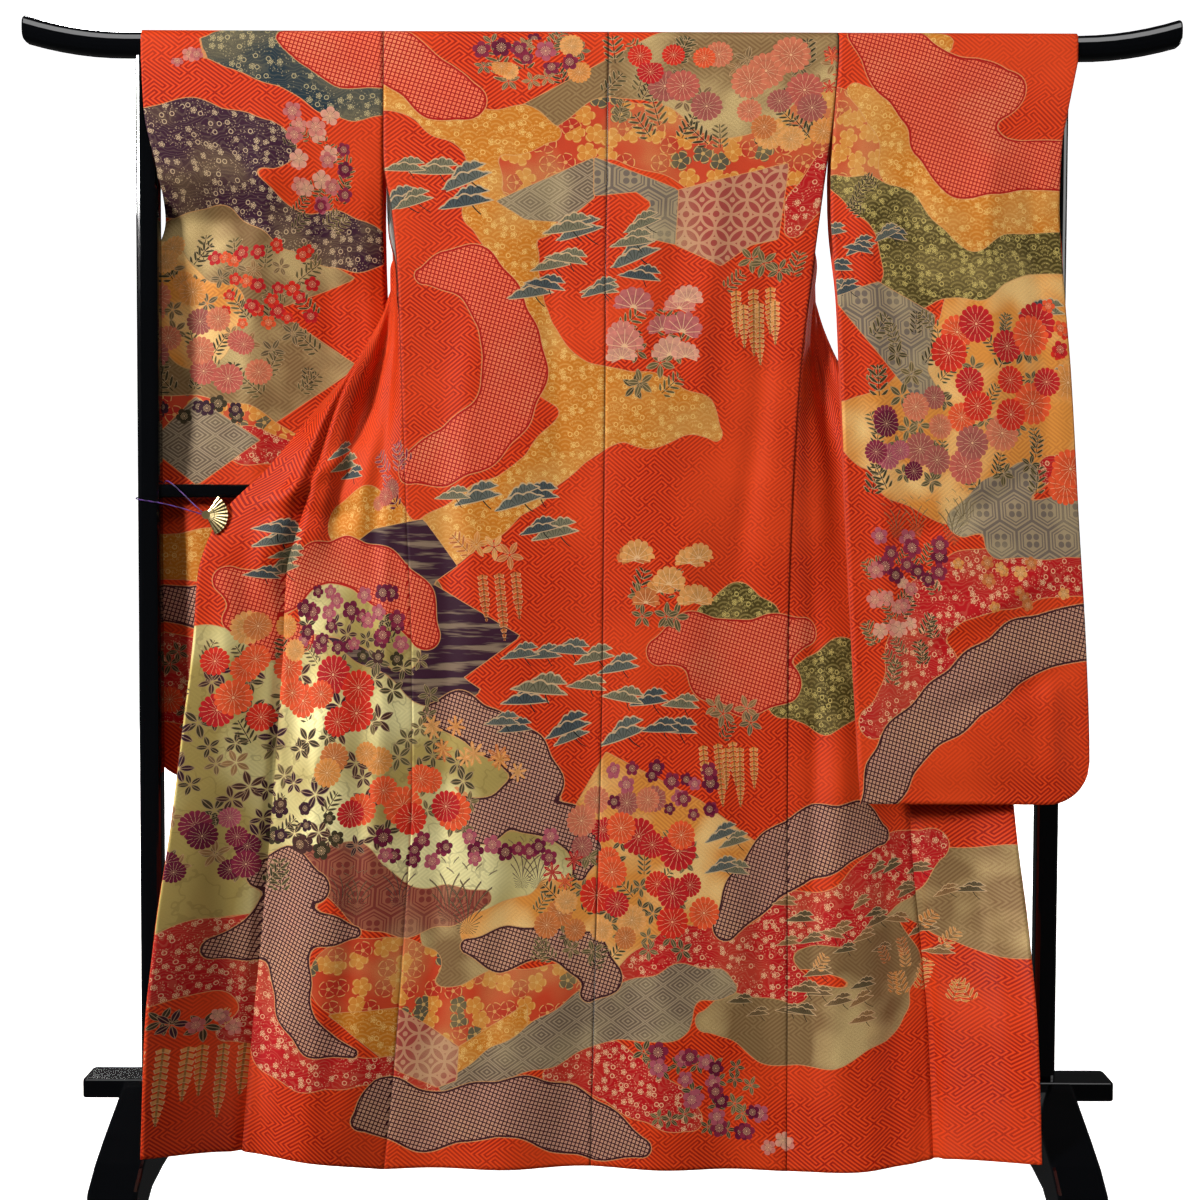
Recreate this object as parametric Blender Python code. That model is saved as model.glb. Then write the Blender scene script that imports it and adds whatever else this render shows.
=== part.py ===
"""Furisode hung open over a black lacquered kimono stand, back to the viewer.

Metres, +Z up. The viewer looks along +Y, so the back panels face -Y and +X is to the right.
The origin is on the floor, midway between the two feet.
"""
import math
from collections import namedtuple

import bmesh
import bpy
import numpy as np

# Cloth
CLOTH = 0.002             # thickness of the outer silk with its inner layer
LINING = 0.001
COLLAR_THICK = 0.003      # the collar is folded double
SEAM_GAP = 0.0003
SEAM_TURN_ROOM = 0.0013   # more room on each side of a seam whose panels meet at an angle
FRONT_WIDTH = 0.24        # side seam to okumi seam
COLLAR_WIDTH = 0.055
KENSAKI_HEIGHT = 1.46     # upper point of the okumi
COLLAR_END_HEIGHT = 0.825
LINING_LOW = 1.30
LINING_HIGH = 1.61
LINING_INSET = 0.3        # share of the first and last column that the lining stays back
LINING_CLEAR = 0.0006     # the lining's distance from the silk, which bends more than it
HEM_HEIGHT = 0.052        # at the side seams
SLEEVE_CORNER = 0.06      # radius of the rounded outer corner
SLEEVE_CORNER_FROM = 1.40 # rows below it close up towards the corner
SLEEVE_SEAM = CLOTH + SEAM_GAP
BACK_WAVE = 0.23          # width of one soft fold of the back
BACK_LIFT = 0.004         # the centre of the hem lies higher than its sides
GATHER_WAVE = 0.085       # width of one soft fold of a front
SIDE_SEAM_FLAT = 0.85     # below it the back and the front meet at an angle ...
SIDE_SEAM_SHARP = 1.10    # ... up to this height, above which they lie back to back
OKUMI_SEAM_FLAT = 0.95
OKUMI_SEAM_SHARP = 1.15
COLLAR_BEHIND_LOW = 1.02  # below it the collar lies on the inner side of the okumi
COLLAR_BEHIND_HIGH = 1.12
COLLAR_HEAD_HIGH = 1.40   # above it the collar heads straight to the middle
COLLAR_HEAD_LOW = 1.25
COLLAR_CLEAR = 0.0006     # more than the seam's gap, because both pieces bend

# Top bar
BAR_TOP = 1.680
BAR_HEIGHT = 0.034
BAR_DEPTH = 0.040
BAR_CORNER = 0.012
BAR_HALF_LENGTH = 0.826
BAR_TIP_RISE = 0.022
BAR_STRAIGHT = 0.68       # half length of the straight middle
DRAPE_OFFSET = 0.0018     # bar surface to the middle of the cloth on it
DRAPE_BOTTOM = 1.64       # height where the cloth leaves the bar

# Posts, rail, board and feet
POST_X = 0.651
POST_SIZE = 0.032
RAIL_BOTTOM = 1.016
RAIL_TOP = 1.036
RAIL_DEPTH = 0.020
BOARD_HALF_LENGTH = 0.747
BOARD_DEPTH = 0.068
BOARD_BOTTOM = 0.146
BOARD_TOP = 0.174
FOOT_INNER = 0.619
FOOT_WIDTH = 0.068
FIT = 0.0003

# Fan clip and its cord
CLIP_X = -0.562
CLIP_Z = 0.992
FAN_RADIUS = 0.031
FAN_RIBS = 11
FAN_START = math.radians(-66.0)
FAN_END = math.radians(58.0)
FAN_PLATE = 0.0012
FAN_RELIEF = 0.0007
FAN_FRONT = -0.0433
JAW_BACK = -0.0290
PIVOT_RADIUS = 0.0028
PIVOT_HEAD = 2.2          # times the stem's radius
JAW_PLATE = 0.0012
JAW_OUTLINE = [(-0.004, -0.004), (0.030, -0.006), (0.032, 0.0), (0.030, 0.006), (-0.004, 0.004)]
CORD_RADIUS = 0.0009

# Mesh fineness
PANEL_COLUMNS = 12
OKUMI_COLUMNS = 4
SLEEVE_COLUMNS = 8
ROW_STEP = 0.052
NECK_ROWS = 4

LEFT = -1
RIGHT = 1

# Back: the side edges and the centre seam at each height, and how far the cloth stands off
Back = namedtuple("Back", "height left right centre side_depth centre_depth fold")
BACK = [
    Back(1.640, 0.3110, 0.3360, 0.009, -0.0225, -0.0225, 0.000),
    Back(1.560, 0.3110, 0.3297, 0.008, -0.0270, -0.0270, 0.000),
    Back(1.500, 0.3105, 0.3215, 0.008, -0.0290, -0.0300, 0.001),
    Back(1.420, 0.2980, 0.3110, 0.007, -0.0310, -0.0340, 0.002),
    Back(1.350, 0.2912, 0.3020, 0.006, -0.0325, -0.0370, 0.002),
    Back(1.200, 0.2850, 0.2850, 0.006, -0.0350, -0.0410, 0.003),
    Back(1.000, 0.2780, 0.2740, 0.005, -0.0390, -0.0450, 0.003),
    Back(0.800, 0.2700, 0.2695, 0.004, -0.0430, -0.0480, 0.004),
    Back(0.600, 0.2690, 0.2700, 0.001, -0.0460, -0.0500, 0.005),
    Back(0.400, 0.2800, 0.2710, -0.004, -0.0500, -0.0530, 0.006),
    Back(0.200, 0.2940, 0.2720, -0.008, -0.0560, -0.0570, 0.008),
    Back(HEM_HEIGHT, 0.3085, 0.2720, -0.011, -0.0600, -0.0600, 0.009),
]

# Fronts: one row for each height of the side seam. "out" is measured from the centre to the side,
# "rise" is the height above the side seam's point. The upper rows hang behind the bar, the middle
# rows turn round the side seam, and the lower rows lie open as wings beside the back.
Front = namedtuple("Front", "height side_out side_depth mid_out mid_depth seam_out seam_depth "
                            "edge_out edge_depth mid_rise seam_rise edge_rise gather")
FRONT_LEFT = [
    Front(1.640, 0.3105, 0.0225, 0.200, 0.0225, 0.095, 0.0225, 0.065, 0.0225, 0, 0, 0, 0.000),
    Front(1.560, 0.3105, 0.0260, 0.215, 0.0500, 0.130, 0.0500, 0.100, 0.0500, 0, 0, 0, 0.005),
    Front(1.460, 0.3105, 0.0220, 0.262, 0.0700, 0.195, 0.0800, 0.165, 0.0780, 0, 0, 0, 0.008),
    Front(1.400, 0.3060, 0.0000, 0.275, 0.0550, 0.238, 0.0850, 0.222, 0.0930, 0, 0, 0, 0.007),
    Front(1.345, 0.2925, -0.0320, 0.300, 0.0150, 0.285, 0.0650, 0.268, 0.0880, 0, 0, 0, 0.004),
    Front(1.262, 0.2885, -0.0335, 0.302, 0.0000, 0.324, 0.0000, 0.305, 0.0350, 0, 0, 0, 0.002),
    Front(1.163, 0.2835, -0.0357, 0.325, 0.0000, 0.372, -0.0340, 0.395, 0.0000, 0, 0, 0, 0.002),
    Front(1.063, 0.2800, -0.0378, 0.345, -0.0280, 0.405, -0.0430, 0.472, -0.0320, 0, 0, 0, 0.002),
    Front(0.983, 0.2775, -0.0394, 0.360, -0.0300, 0.432, -0.0460, 0.548, -0.0360, 0, 0, 0, 0.002),
    Front(0.905, 0.2742, -0.0410, 0.365, -0.0340, 0.453, -0.0400, 0.574, -0.0460, 0, 0, 0, 0.000),
    Front(0.825, 0.2710, -0.0425, 0.365, -0.0480, 0.456, -0.0370, 0.579, -0.0520, 0, 0, 0, 0.000),
    Front(0.685, 0.2680, -0.0447, 0.368, -0.0580, 0.464, -0.0380, 0.591, -0.0750, 0, 0, 0.004, 0.000),
    Front(0.535, 0.2720, -0.0472, 0.375, -0.0680, 0.475, -0.0420, 0.603, -0.1050, 0, 0.004, 0.012, 0.000),
    Front(0.385, 0.2810, -0.0504, 0.385, -0.0800, 0.487, -0.0500, 0.617, -0.1420, 0.004, 0.012, 0.024, 0.000),
    Front(0.235, 0.2915, -0.0550, 0.398, -0.0920, 0.499, -0.0700, 0.622, -0.1850, 0.012, 0.024, 0.042, 0.000),
    Front(0.052, 0.3085, -0.0600, 0.408, -0.1020, 0.509, -0.1080, 0.622, -0.2120, 0.022, 0.041, 0.064, 0.000),
]
FRONT_RIGHT = [
    Front(1.640, 0.3355, 0.0225, 0.210, 0.0225, 0.098, 0.0225, 0.068, 0.0225, 0, 0, 0, 0.000),
    Front(1.560, 0.3285, 0.0260, 0.225, 0.0500, 0.135, 0.0500, 0.105, 0.0500, 0, 0, 0, 0.005),
    Front(1.460, 0.3170, 0.0220, 0.270, 0.0700, 0.200, 0.0800, 0.170, 0.0780, 0, 0, 0, 0.008),
    Front(1.400, 0.3090, 0.0000, 0.285, 0.0500, 0.245, 0.0820, 0.229, 0.0900, 0, 0, 0, 0.007),
    Front(1.345, 0.3018, -0.0320, 0.306, 0.0150, 0.296, 0.0560, 0.282, 0.0780, 0, 0, 0, 0.004),
    Front(1.262, 0.2915, -0.0335, 0.304, 0.0000, 0.322, 0.0100, 0.316, 0.0380, 0, 0, 0, 0.002),
    Front(1.163, 0.2825, -0.0357, 0.322, -0.0040, 0.360, -0.0160, 0.385, 0.0100, 0, 0, 0, 0.002),
    Front(1.063, 0.2770, -0.0378, 0.345, -0.0180, 0.400, -0.0320, 0.462, -0.0240, 0, 0, 0, 0.002),
    Front(0.983, 0.2735, -0.0394, 0.352, -0.0240, 0.418, -0.0340, 0.530, -0.0300, 0, 0, 0, 0.002),
    Front(0.905, 0.2715, -0.0410, 0.356, -0.0300, 0.430, -0.0360, 0.560, -0.0360, 0, 0, 0, 0.000),
    Front(0.825, 0.2700, -0.0425, 0.358, -0.0400, 0.434, -0.0380, 0.572, -0.0420, 0, 0, 0, 0.000),
    Front(0.685, 0.2695, -0.0447, 0.362, -0.0500, 0.442, -0.0420, 0.582, -0.0560, 0, 0, 0.004, 0.000),
    Front(0.535, 0.2700, -0.0472, 0.366, -0.0600, 0.449, -0.0480, 0.590, -0.0880, 0, 0.004, 0.012, 0.000),
    Front(0.385, 0.2710, -0.0504, 0.370, -0.0720, 0.462, -0.0540, 0.600, -0.1340, 0.003, 0.010, 0.024, 0.000),
    Front(0.235, 0.2718, -0.0550, 0.374, -0.0840, 0.474, -0.0660, 0.604, -0.1800, 0.007, 0.019, 0.042, 0.000),
    Front(0.052, 0.2720, -0.0600, 0.374, -0.1000, 0.480, -0.1000, 0.605, -0.2080, 0.012, 0.031, 0.060, 0.000),
]

# Okumi: its width from the seam to the front edge
Okumi = namedtuple("Okumi", "height width")
OKUMI = [
    Okumi(KENSAKI_HEIGHT, 0.000),
    Okumi(COLLAR_END_HEIGHT, 0.135),
    Okumi(HEM_HEIGHT, 0.150),
]
OKUMI_LEAST = 0.030       # spacing of the last two knots of a row where the okumi is narrower

# Sleeves: "depth" is the middle between the two layers and "gap" the distance between them
Sleeve = namedtuple("Sleeve", "height inner outer_front outer_back inner_depth outer_depth "
                              "inner_gap outer_gap")
SLEEVE_LEFT = [
    Sleeve(1.640, 0.3113, 0.6555, 0.6555, 0.0000, 0.0000, 0.0450, 0.0450),
    Sleeve(1.560, 0.3113, 0.6500, 0.6520, 0.0010, 0.0000, 0.0530, 0.0540),
    Sleeve(1.480, 0.3120, 0.6330, 0.6400, 0.0080, 0.0030, 0.0500, 0.0540),
    Sleeve(1.445, 0.3130, 0.6290, 0.6340, 0.0140, 0.0130, 0.0460, 0.0300),
    Sleeve(1.410, 0.3140, 0.6320, 0.6320, 0.0220, 0.0240, 0.0420, SLEEVE_SEAM),
    Sleeve(1.360, 0.3145, 0.6480, 0.6480, 0.0380, 0.0246, 0.0360, SLEEVE_SEAM),
    Sleeve(1.300, 0.3140, 0.6540, 0.6540, 0.0520, 0.0246, 0.0300, SLEEVE_SEAM),
    Sleeve(1.200, 0.3130, 0.6560, 0.6560, 0.0580, 0.0246, 0.0240, SLEEVE_SEAM),
    Sleeve(1.050, 0.3120, 0.6570, 0.6570, 0.0460, 0.0246, 0.0200, SLEEVE_SEAM),
    Sleeve(0.800, 0.3110, 0.6570, 0.6570, 0.0360, 0.0246, 0.0170, SLEEVE_SEAM),
    Sleeve(0.605, 0.3110, 0.6570, 0.6570, 0.0250, 0.0246, SLEEVE_SEAM, SLEEVE_SEAM),
]
SLEEVE_RIGHT = [
    Sleeve(1.640, 0.3368, 0.6765, 0.6765, 0.0000, 0.0000, 0.0450, 0.0450),
    Sleeve(1.560, 0.3300, 0.6600, 0.6620, -0.0040, -0.0030, 0.0500, 0.0540),
    Sleeve(1.520, 0.3270, 0.6530, 0.6310, -0.0080, -0.0060, 0.0480, 0.0540),
    Sleeve(1.465, 0.3245, 0.6500, 0.6290, -0.0140, -0.0240, 0.0440, 0.0260),
    Sleeve(1.435, 0.3245, 0.6490, 0.6310, -0.0180, -0.0345, 0.0420, 0.0100),
    Sleeve(1.410, 0.3250, 0.6495, 0.6495, -0.0220, -0.0385, 0.0400, SLEEVE_SEAM),
    Sleeve(1.300, 0.3340, 0.6575, 0.6575, -0.0400, -0.0450, 0.0240, SLEEVE_SEAM),
    Sleeve(1.200, 0.3380, 0.6650, 0.6650, -0.0500, -0.0540, 0.0200, SLEEVE_SEAM),
    Sleeve(1.000, 0.3460, 0.6750, 0.6750, -0.0660, -0.0690, 0.0160, SLEEVE_SEAM),
    Sleeve(0.800, 0.3560, 0.6850, 0.6850, -0.0810, -0.0860, 0.0140, SLEEVE_SEAM),
    Sleeve(0.650, 0.3640, 0.6885, 0.6885, -0.0940, -0.0990, 0.0120, SLEEVE_SEAM),
    Sleeve(0.590, 0.3670, 0.6885, 0.6885, -0.1025, -0.1040, SLEEVE_SEAM, SLEEVE_SEAM),
]
SLEEVE_FOLD = 0.004       # soft hollow between the long edges of a sleeve

# Foot: outer and inner curve of half an arch, from the floor to the middle
FootPoint = namedtuple("FootPoint", "depth height")
FOOT_OUTER = [
    FootPoint(0.268, 0.000), FootPoint(0.2685, 0.030), FootPoint(0.262, 0.055),
    FootPoint(0.245, 0.083), FootPoint(0.205, 0.108), FootPoint(0.150, 0.131),
    FootPoint(0.090, 0.153), FootPoint(0.055, 0.166),
]
FOOT_INNER_CURVE = [
    FootPoint(0.000, 0.065), FootPoint(0.080, 0.063), FootPoint(0.150, 0.056),
    FootPoint(0.190, 0.038), FootPoint(0.205, 0.000),
]
FOOT_SHOULDER = 0.1725    # top of the foot beside the board
FOOT_BEVEL = 0.005

# Cord from the clip round the left post and back
CordPoint = namedtuple("CordPoint", "x y z")
CORD_ROUTE = [
    CordPoint(-0.5651, -0.0335, 0.9915), CordPoint(-0.5900, -0.0300, 0.9985),
    CordPoint(-0.6150, -0.0240, 1.0050), CordPoint(-0.6380, -0.0185, 1.0095),
    CordPoint(-0.6600, -0.0182, 1.0130), CordPoint(-0.6690, -0.0120, 1.0150),
    CordPoint(-0.6692, 0.0100, 1.0175), CordPoint(-0.6620, 0.0178, 1.0195),
    CordPoint(-0.6420, 0.0178, 1.0290), CordPoint(-0.6335, 0.0130, 1.0385),
    CordPoint(-0.6280, 0.0000, 1.0405), CordPoint(-0.6200, -0.0110, 1.0385),
    CordPoint(-0.6060, -0.0190, 1.0280), CordPoint(-0.5840, -0.0320, 1.0090),
    CordPoint(-0.5651, -0.0388, 0.9925),
]
CORD_STEPS = 4            # points of the tube for each stretch of the route

COLOURS = {
    "outer_silk": ((0.75, 0.075, 0.012), 0.55, 0.0),
    "lining_silk": ((0.86, 0.84, 0.80), 0.6, 0.0),
    "black_lacquer": ((0.006, 0.006, 0.007), 0.12, 0.0),
    "gold_metal": ((0.80, 0.62, 0.30), 0.3, 1.0),
    "cord_silk": ((0.10, 0.03, 0.22), 0.6, 0.0),
}


def clear_scene():
    for obj in list(bpy.data.objects):
        bpy.data.objects.remove(obj)


def material(name):
    """The Principled material of one of the named finishes."""
    found = bpy.data.materials.get(name)
    if found:
        return found
    colour, roughness, metallic = COLOURS[name]
    made = bpy.data.materials.new(name)
    made.use_nodes = True
    shader = made.node_tree.nodes["Principled BSDF"]
    shader.inputs["Base Color"].default_value = (*colour, 1.0)
    shader.inputs["Roughness"].default_value = roughness
    shader.inputs["Metallic"].default_value = metallic
    made.diffuse_color = (*colour, 1.0)
    return made


def track(table, field, height):
    """One column of a table at any height, on a smooth curve that doesn't swing past its rows."""
    keys = np.array([-row.height for row in table])
    values = np.array([getattr(row, field) for row in table])
    at = -height
    if at <= keys[0]:
        return float(values[0])
    if at >= keys[-1]:
        return float(values[-1])
    spans = np.diff(keys)
    rates = np.diff(values) / spans

    def slope(i):
        if i == 0 or i == len(keys) - 1:
            return rates[min(i, len(rates) - 1)]
        before, after = rates[i - 1], rates[i]
        if before * after <= 0:
            return 0.0
        return 2 * before * after / (before + after)

    i = int(np.searchsorted(keys, at)) - 1
    k = (at - keys[i]) / spans[i]
    start, end = slope(i) * spans[i], slope(i + 1) * spans[i]
    return float(values[i] * (1 + 2 * k) * (1 - k) ** 2 + values[i + 1] * k * k * (3 - 2 * k)
                 + start * k * (1 - k) ** 2 - end * k * k * (1 - k))


def curve_through(knots, points, at):
    """A point of the smooth curve that passes each point at its knot."""
    last = len(knots) - 1
    i = int(np.clip(np.searchsorted(knots, at) - 1, 0, last - 1))

    def slope(j):
        low, high = max(j - 1, 0), min(j + 1, last)
        return (points[high] - points[low]) / (knots[high] - knots[low])

    span = knots[i + 1] - knots[i]
    k = (at - knots[i]) / span
    if k < 0:
        return points[0] + slope(0) * (at - knots[0])
    if k > 1:
        return points[last] + slope(last) * (at - knots[last])
    return (points[i] * (1 + 2 * k) * (1 - k) ** 2 + points[i + 1] * k * k * (3 - 2 * k)
            + slope(i) * span * k * (1 - k) ** 2 - slope(i + 1) * span * k * k * (1 - k))


def ease(start, end, value):
    """0 at start, 1 at end and beyond, and smooth between; end may lie below start."""
    k = min(max((value - start) / (end - start), 0.0), 1.0)
    return k * k * (3 - 2 * k)


def heights_between(top, bottom, step=ROW_STEP):
    count = max(1, round((top - bottom) / step))
    return [top + (bottom - top) * i / count for i in range(count + 1)]


def grid_normals(grid):
    """Unit normals of a grid of points, rows by columns."""
    down = np.empty_like(grid)
    down[1:-1] = grid[2:] - grid[:-2]
    down[0] = grid[1] - grid[0]
    down[-1] = grid[-1] - grid[-2]
    across = np.empty_like(grid)
    across[:, 1:-1] = grid[:, 2:] - grid[:, :-2]
    across[:, 0] = grid[:, 1] - grid[:, 0]
    across[:, -1] = grid[:, -1] - grid[:, -2]
    normal = np.cross(down, across)
    return normal / np.linalg.norm(normal, axis=2, keepdims=True)


def sheet_solid(name, grid, thickness, finish, borders=True):
    """A closed wall of even thickness on a grid of points, rows by columns.

    With borders, the first and last column only steer the edge's direction and aren't built.
    """
    grid = np.asarray(grid)
    normal = grid_normals(grid)
    if borders:
        grid, normal = grid[:, 1:-1], normal[:, 1:-1]
    rows, columns = grid.shape[:2]
    mesh = bmesh.new()
    sides = []
    for shift in (thickness / 2, -thickness / 2):
        sides.append([[mesh.verts.new(grid[r, c] + normal[r, c] * shift) for c in range(columns)]
                      for r in range(rows)])
    outer, inner = sides
    for r in range(rows - 1):
        for c in range(columns - 1):
            mesh.faces.new((outer[r][c], outer[r + 1][c], outer[r + 1][c + 1]))
            mesh.faces.new((outer[r][c], outer[r + 1][c + 1], outer[r][c + 1]))
            mesh.faces.new((inner[r][c], inner[r + 1][c + 1], inner[r + 1][c]))
            mesh.faces.new((inner[r][c], inner[r][c + 1], inner[r + 1][c + 1]))
    rim = [(0, c) for c in range(columns)]
    rim += [(r, columns - 1) for r in range(1, rows)]
    rim += [(rows - 1, c) for c in range(columns - 2, -1, -1)]
    rim += [(r, 0) for r in range(rows - 2, 0, -1)]
    for (r0, c0), (r1, c1) in zip(rim, rim[1:] + rim[:1]):
        mesh.faces.new((outer[r0][c0], outer[r1][c1], inner[r1][c1], inner[r0][c0]))
    return add_mesh(name, mesh, finish)


def add_mesh(name, mesh, finish):
    bmesh.ops.recalc_face_normals(mesh, faces=mesh.faces)
    data = bpy.data.meshes.new(name)
    mesh.to_mesh(data)
    mesh.free()
    data.shade_smooth()
    data.set_sharp_from_angle(angle=math.radians(40))
    data.materials.append(material(finish))
    obj = bpy.data.objects.new(name, data)
    bpy.context.collection.objects.link(obj)
    return obj


def lofted_solid(name, rings, finish):
    """A closed body through rings of points, with flat ends."""
    mesh = bmesh.new()
    loops = [[mesh.verts.new(point) for point in ring] for ring in rings]
    count = len(rings[0])
    for first, second in zip(loops, loops[1:]):
        for i in range(count):
            j = (i + 1) % count
            mesh.faces.new((first[i], first[j], second[j], second[i]))
    mesh.faces.new(loops[0][::-1])
    mesh.faces.new(loops[-1])
    return add_mesh(name, mesh, finish)


def rounded_rectangle(width, height, radius, segments=3):
    """Points of a rectangle with round corners, centred on zero."""
    points = []
    for corner, (sx, sy) in enumerate([(1, 1), (-1, 1), (-1, -1), (1, -1)]):
        for i in range(segments + 1):
            angle = math.radians(90 * corner + 90 * i / segments)
            points.append((sx * (width / 2 - radius) + radius * math.cos(angle),
                           sy * (height / 2 - radius) + radius * math.sin(angle)))
    return points


# Cloth surfaces

def drape_over_bar(steps_corner=3):
    """Depth and height of the cloth's middle from the front of the bar over its top to the back."""
    side = BAR_DEPTH / 2 + DRAPE_OFFSET
    radius = BAR_CORNER + DRAPE_OFFSET
    centre_y = side - radius
    centre_z = BAR_TOP + DRAPE_OFFSET - radius
    path = []
    for i in range(steps_corner + 1):
        angle = math.pi - math.pi / 2 * i / steps_corner
        path.append((-centre_y + radius * math.cos(angle), centre_z + radius * math.sin(angle)))
    for i in range(steps_corner + 1):
        angle = math.pi / 2 - math.pi / 2 * i / steps_corner
        path.append((centre_y + radius * math.cos(angle), centre_z + radius * math.sin(angle)))
    return path


def side_x(side, height):
    """Distance of the back's side edge from the middle of the stand."""
    return track(BACK, "left" if side == LEFT else "right", height)


def back_point(side, height, across):
    """Back panel: across runs from 0 at the side edge to 1 at the centre seam."""
    centre = track(BACK, "centre", height)
    x = side * side_x(side, height) * (1 - across) + centre * across
    spread = min(abs(x - centre) / (side_x(side, height) + abs(centre)), 1.0)
    depth = track(BACK, "centre_depth", height) * (1 - spread ** 2)
    depth += track(BACK, "side_depth", height) * spread ** 2
    turn = x * math.tau / BACK_WAVE + 0.6 + height * 0.5
    wave = track(BACK, "fold", height) * math.cos(turn) * (1 - spread ** 4)
    lift = BACK_LIFT * (1 - spread) * ease(0.4, HEM_HEIGHT, height)
    return np.array([x, depth + wave, height + lift])


def okumi_width(height):
    return track(OKUMI, "width", height)


def front_row(side, height):
    """Knots and points of a front's row, from the side seam to the front edge."""
    table = FRONT_LEFT if side == LEFT else FRONT_RIGHT

    def column(name):
        return track(table, name, height)

    edge = FRONT_WIDTH + max(okumi_width(height), OKUMI_LEAST)
    knots = np.array([0, FRONT_WIDTH / 2, FRONT_WIDTH, edge])
    points = np.array([
        (side * column("side_out"), column("side_depth"), height),
        (side * column("mid_out"), column("mid_depth"), height + column("mid_rise")),
        (side * column("seam_out"), column("seam_depth"), height + column("seam_rise")),
        (side * column("edge_out"), column("edge_depth"), height + column("edge_rise")),
    ])
    return knots, points, column("gather")


def front_point(side, height, across):
    """Front and okumi: across is the cut distance from the side seam."""
    knots, points, gather = front_row(side, height)
    here = curve_through(knots, points, across)
    step = 0.004
    ahead = curve_through(knots, points, across + step) - curve_through(knots, points, across - step)
    normal = np.array([-ahead[1], ahead[0], 0.0])
    normal /= np.linalg.norm(normal)
    window = ease(0.0, 0.06, across) * (1 - ease(FRONT_WIDTH - 0.05, FRONT_WIDTH + 0.01, across))
    return here + normal * gather * window * math.sin(across * math.tau / GATHER_WAVE)


ROW_HEIGHTS = heights_between(DRAPE_BOTTOM - 0.02, HEM_HEIGHT)


def unit(vector):
    return vector / np.linalg.norm(vector)


def front_run(side, height, across, reach=0.01):
    """Direction of a front's row at one place, towards the front edge."""
    return unit(front_point(side, height, across + reach) - front_point(side, height, across - reach))


def side_seam_run(side, height):
    """Direction across the side seam, shared by both panels where the seam lies flat."""
    outward = unit(back_point(side, height, -0.02) - back_point(side, height, 0.02))
    front = front_run(side, height, 0.01)
    turned = ease(SIDE_SEAM_FLAT, SIDE_SEAM_SHARP, height)
    return unit(outward + front * (1 - turned)), unit(front + outward * (1 - turned))


def seam_room(height, start, end):
    """Extra room at a seam where its two panels meet at an angle."""
    return SEAM_TURN_ROOM * ease(start, end, height)


def edged(row, first_run, last_run):
    """A row with a border point at each end that gives its edge the wanted direction."""
    return [row[1] - first_run] + row + [row[-2] + last_run]


def body_grid(side):
    """One length of cloth from the back hem over the bar to the front hem."""
    inset = SEAM_GAP / 2
    quads = PANEL_COLUMNS
    rows = []
    for height in reversed([DRAPE_BOTTOM] + ROW_HEIGHTS):
        edge = inset / side_x(side, height)
        row = [back_point(side, height, edge + (1 - 2 * edge) * c / quads) for c in range(quads + 1)]
        centre_run = back_point(side, height, 1.02) - back_point(side, height, 0.98)
        rows.append(edged(row, -side_seam_run(side, height)[0], centre_run))
    outward = np.array([side, 0.0, 0.0])
    centre = track(BACK, "centre", DRAPE_BOTTOM) + side * inset
    side_edge = side * (side_x(side, DRAPE_BOTTOM) - inset)
    path = drape_over_bar()
    for y, z in path:
        row = [np.array([side_edge + (centre - side_edge) * c / quads, y, z]) for c in range(quads + 1)]
        rows.append(edged(row, -outward, -outward))
    top_y, top = path[-1]
    table = FRONT_LEFT if side == LEFT else FRONT_RIGHT
    for i in range(1, NECK_ROWS + 1):
        drop = i / NECK_ROWS
        height = top - (top - DRAPE_BOTTOM) * drop
        start = side * track(table, "side_out", height) * drop + side_edge * (1 - drop)
        neck = table[0].seam_out * math.sqrt(1 - (1 - drop) ** 2)
        y = top_y + (table[0].side_depth - top_y) * drop
        row = [np.array([start + (side * neck - start) * c / quads, y, height]) for c in range(quads + 1)]
        rows.append(edged(row, -outward, -outward))
    for height in ROW_HEIGHTS:
        first = SEAM_GAP / 2 + seam_room(height, SIDE_SEAM_FLAT, SIDE_SEAM_SHARP)
        last = FRONT_WIDTH - SEAM_GAP / 2 - seam_room(height, OKUMI_SEAM_FLAT, OKUMI_SEAM_SHARP)
        row = [front_point(side, height, first + (last - first) * c / quads) for c in range(quads + 1)]
        rows.append(edged(row, side_seam_run(side, height)[1], front_run(side, height, FRONT_WIDTH)))
    return rows


def okumi_grid(side):
    rows = []
    for height in [h for h in ROW_HEIGHTS if h < KENSAKI_HEIGHT - 0.04]:
        first = FRONT_WIDTH + SEAM_GAP / 2 + seam_room(height, OKUMI_SEAM_FLAT, OKUMI_SEAM_SHARP)
        last = FRONT_WIDTH + okumi_width(height)
        row = [front_point(side, height, first + (last - first) * c / OKUMI_COLUMNS)
               for c in range(OKUMI_COLUMNS + 1)]
        rows.append(edged(row, front_run(side, height, FRONT_WIDTH), front_run(side, height, last)))
    return rows


def lining_grid(side):
    """Lining of a front's upper part: the panel's own points moved off to its inner side."""
    grid = np.array(body_grid(side))
    inward = grid_normals(grid) * -side
    off = CLOTH / 2 + LINING_CLEAR + LINING / 2
    moved = grid + inward * off
    first = len(grid) - len(ROW_HEIGHTS)
    wanted = [first + i for i, height in enumerate(ROW_HEIGHTS) if LINING_LOW < height < LINING_HIGH]
    moved = moved[wanted][:, 1:-1]
    moved[:, 0] += (moved[:, 1] - moved[:, 0]) * LINING_INSET
    moved[:, -1] += (moved[:, -2] - moved[:, -1]) * LINING_INSET
    return moved


def inner_side(side, height, across, clear):
    """A point of a front moved to its inner side."""
    up = front_point(side, height + 0.01, across) - front_point(side, height - 0.01, across)
    inward = unit(-side * np.cross(front_run(side, height, across), up))
    return front_point(side, height, across) + inward * clear


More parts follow.
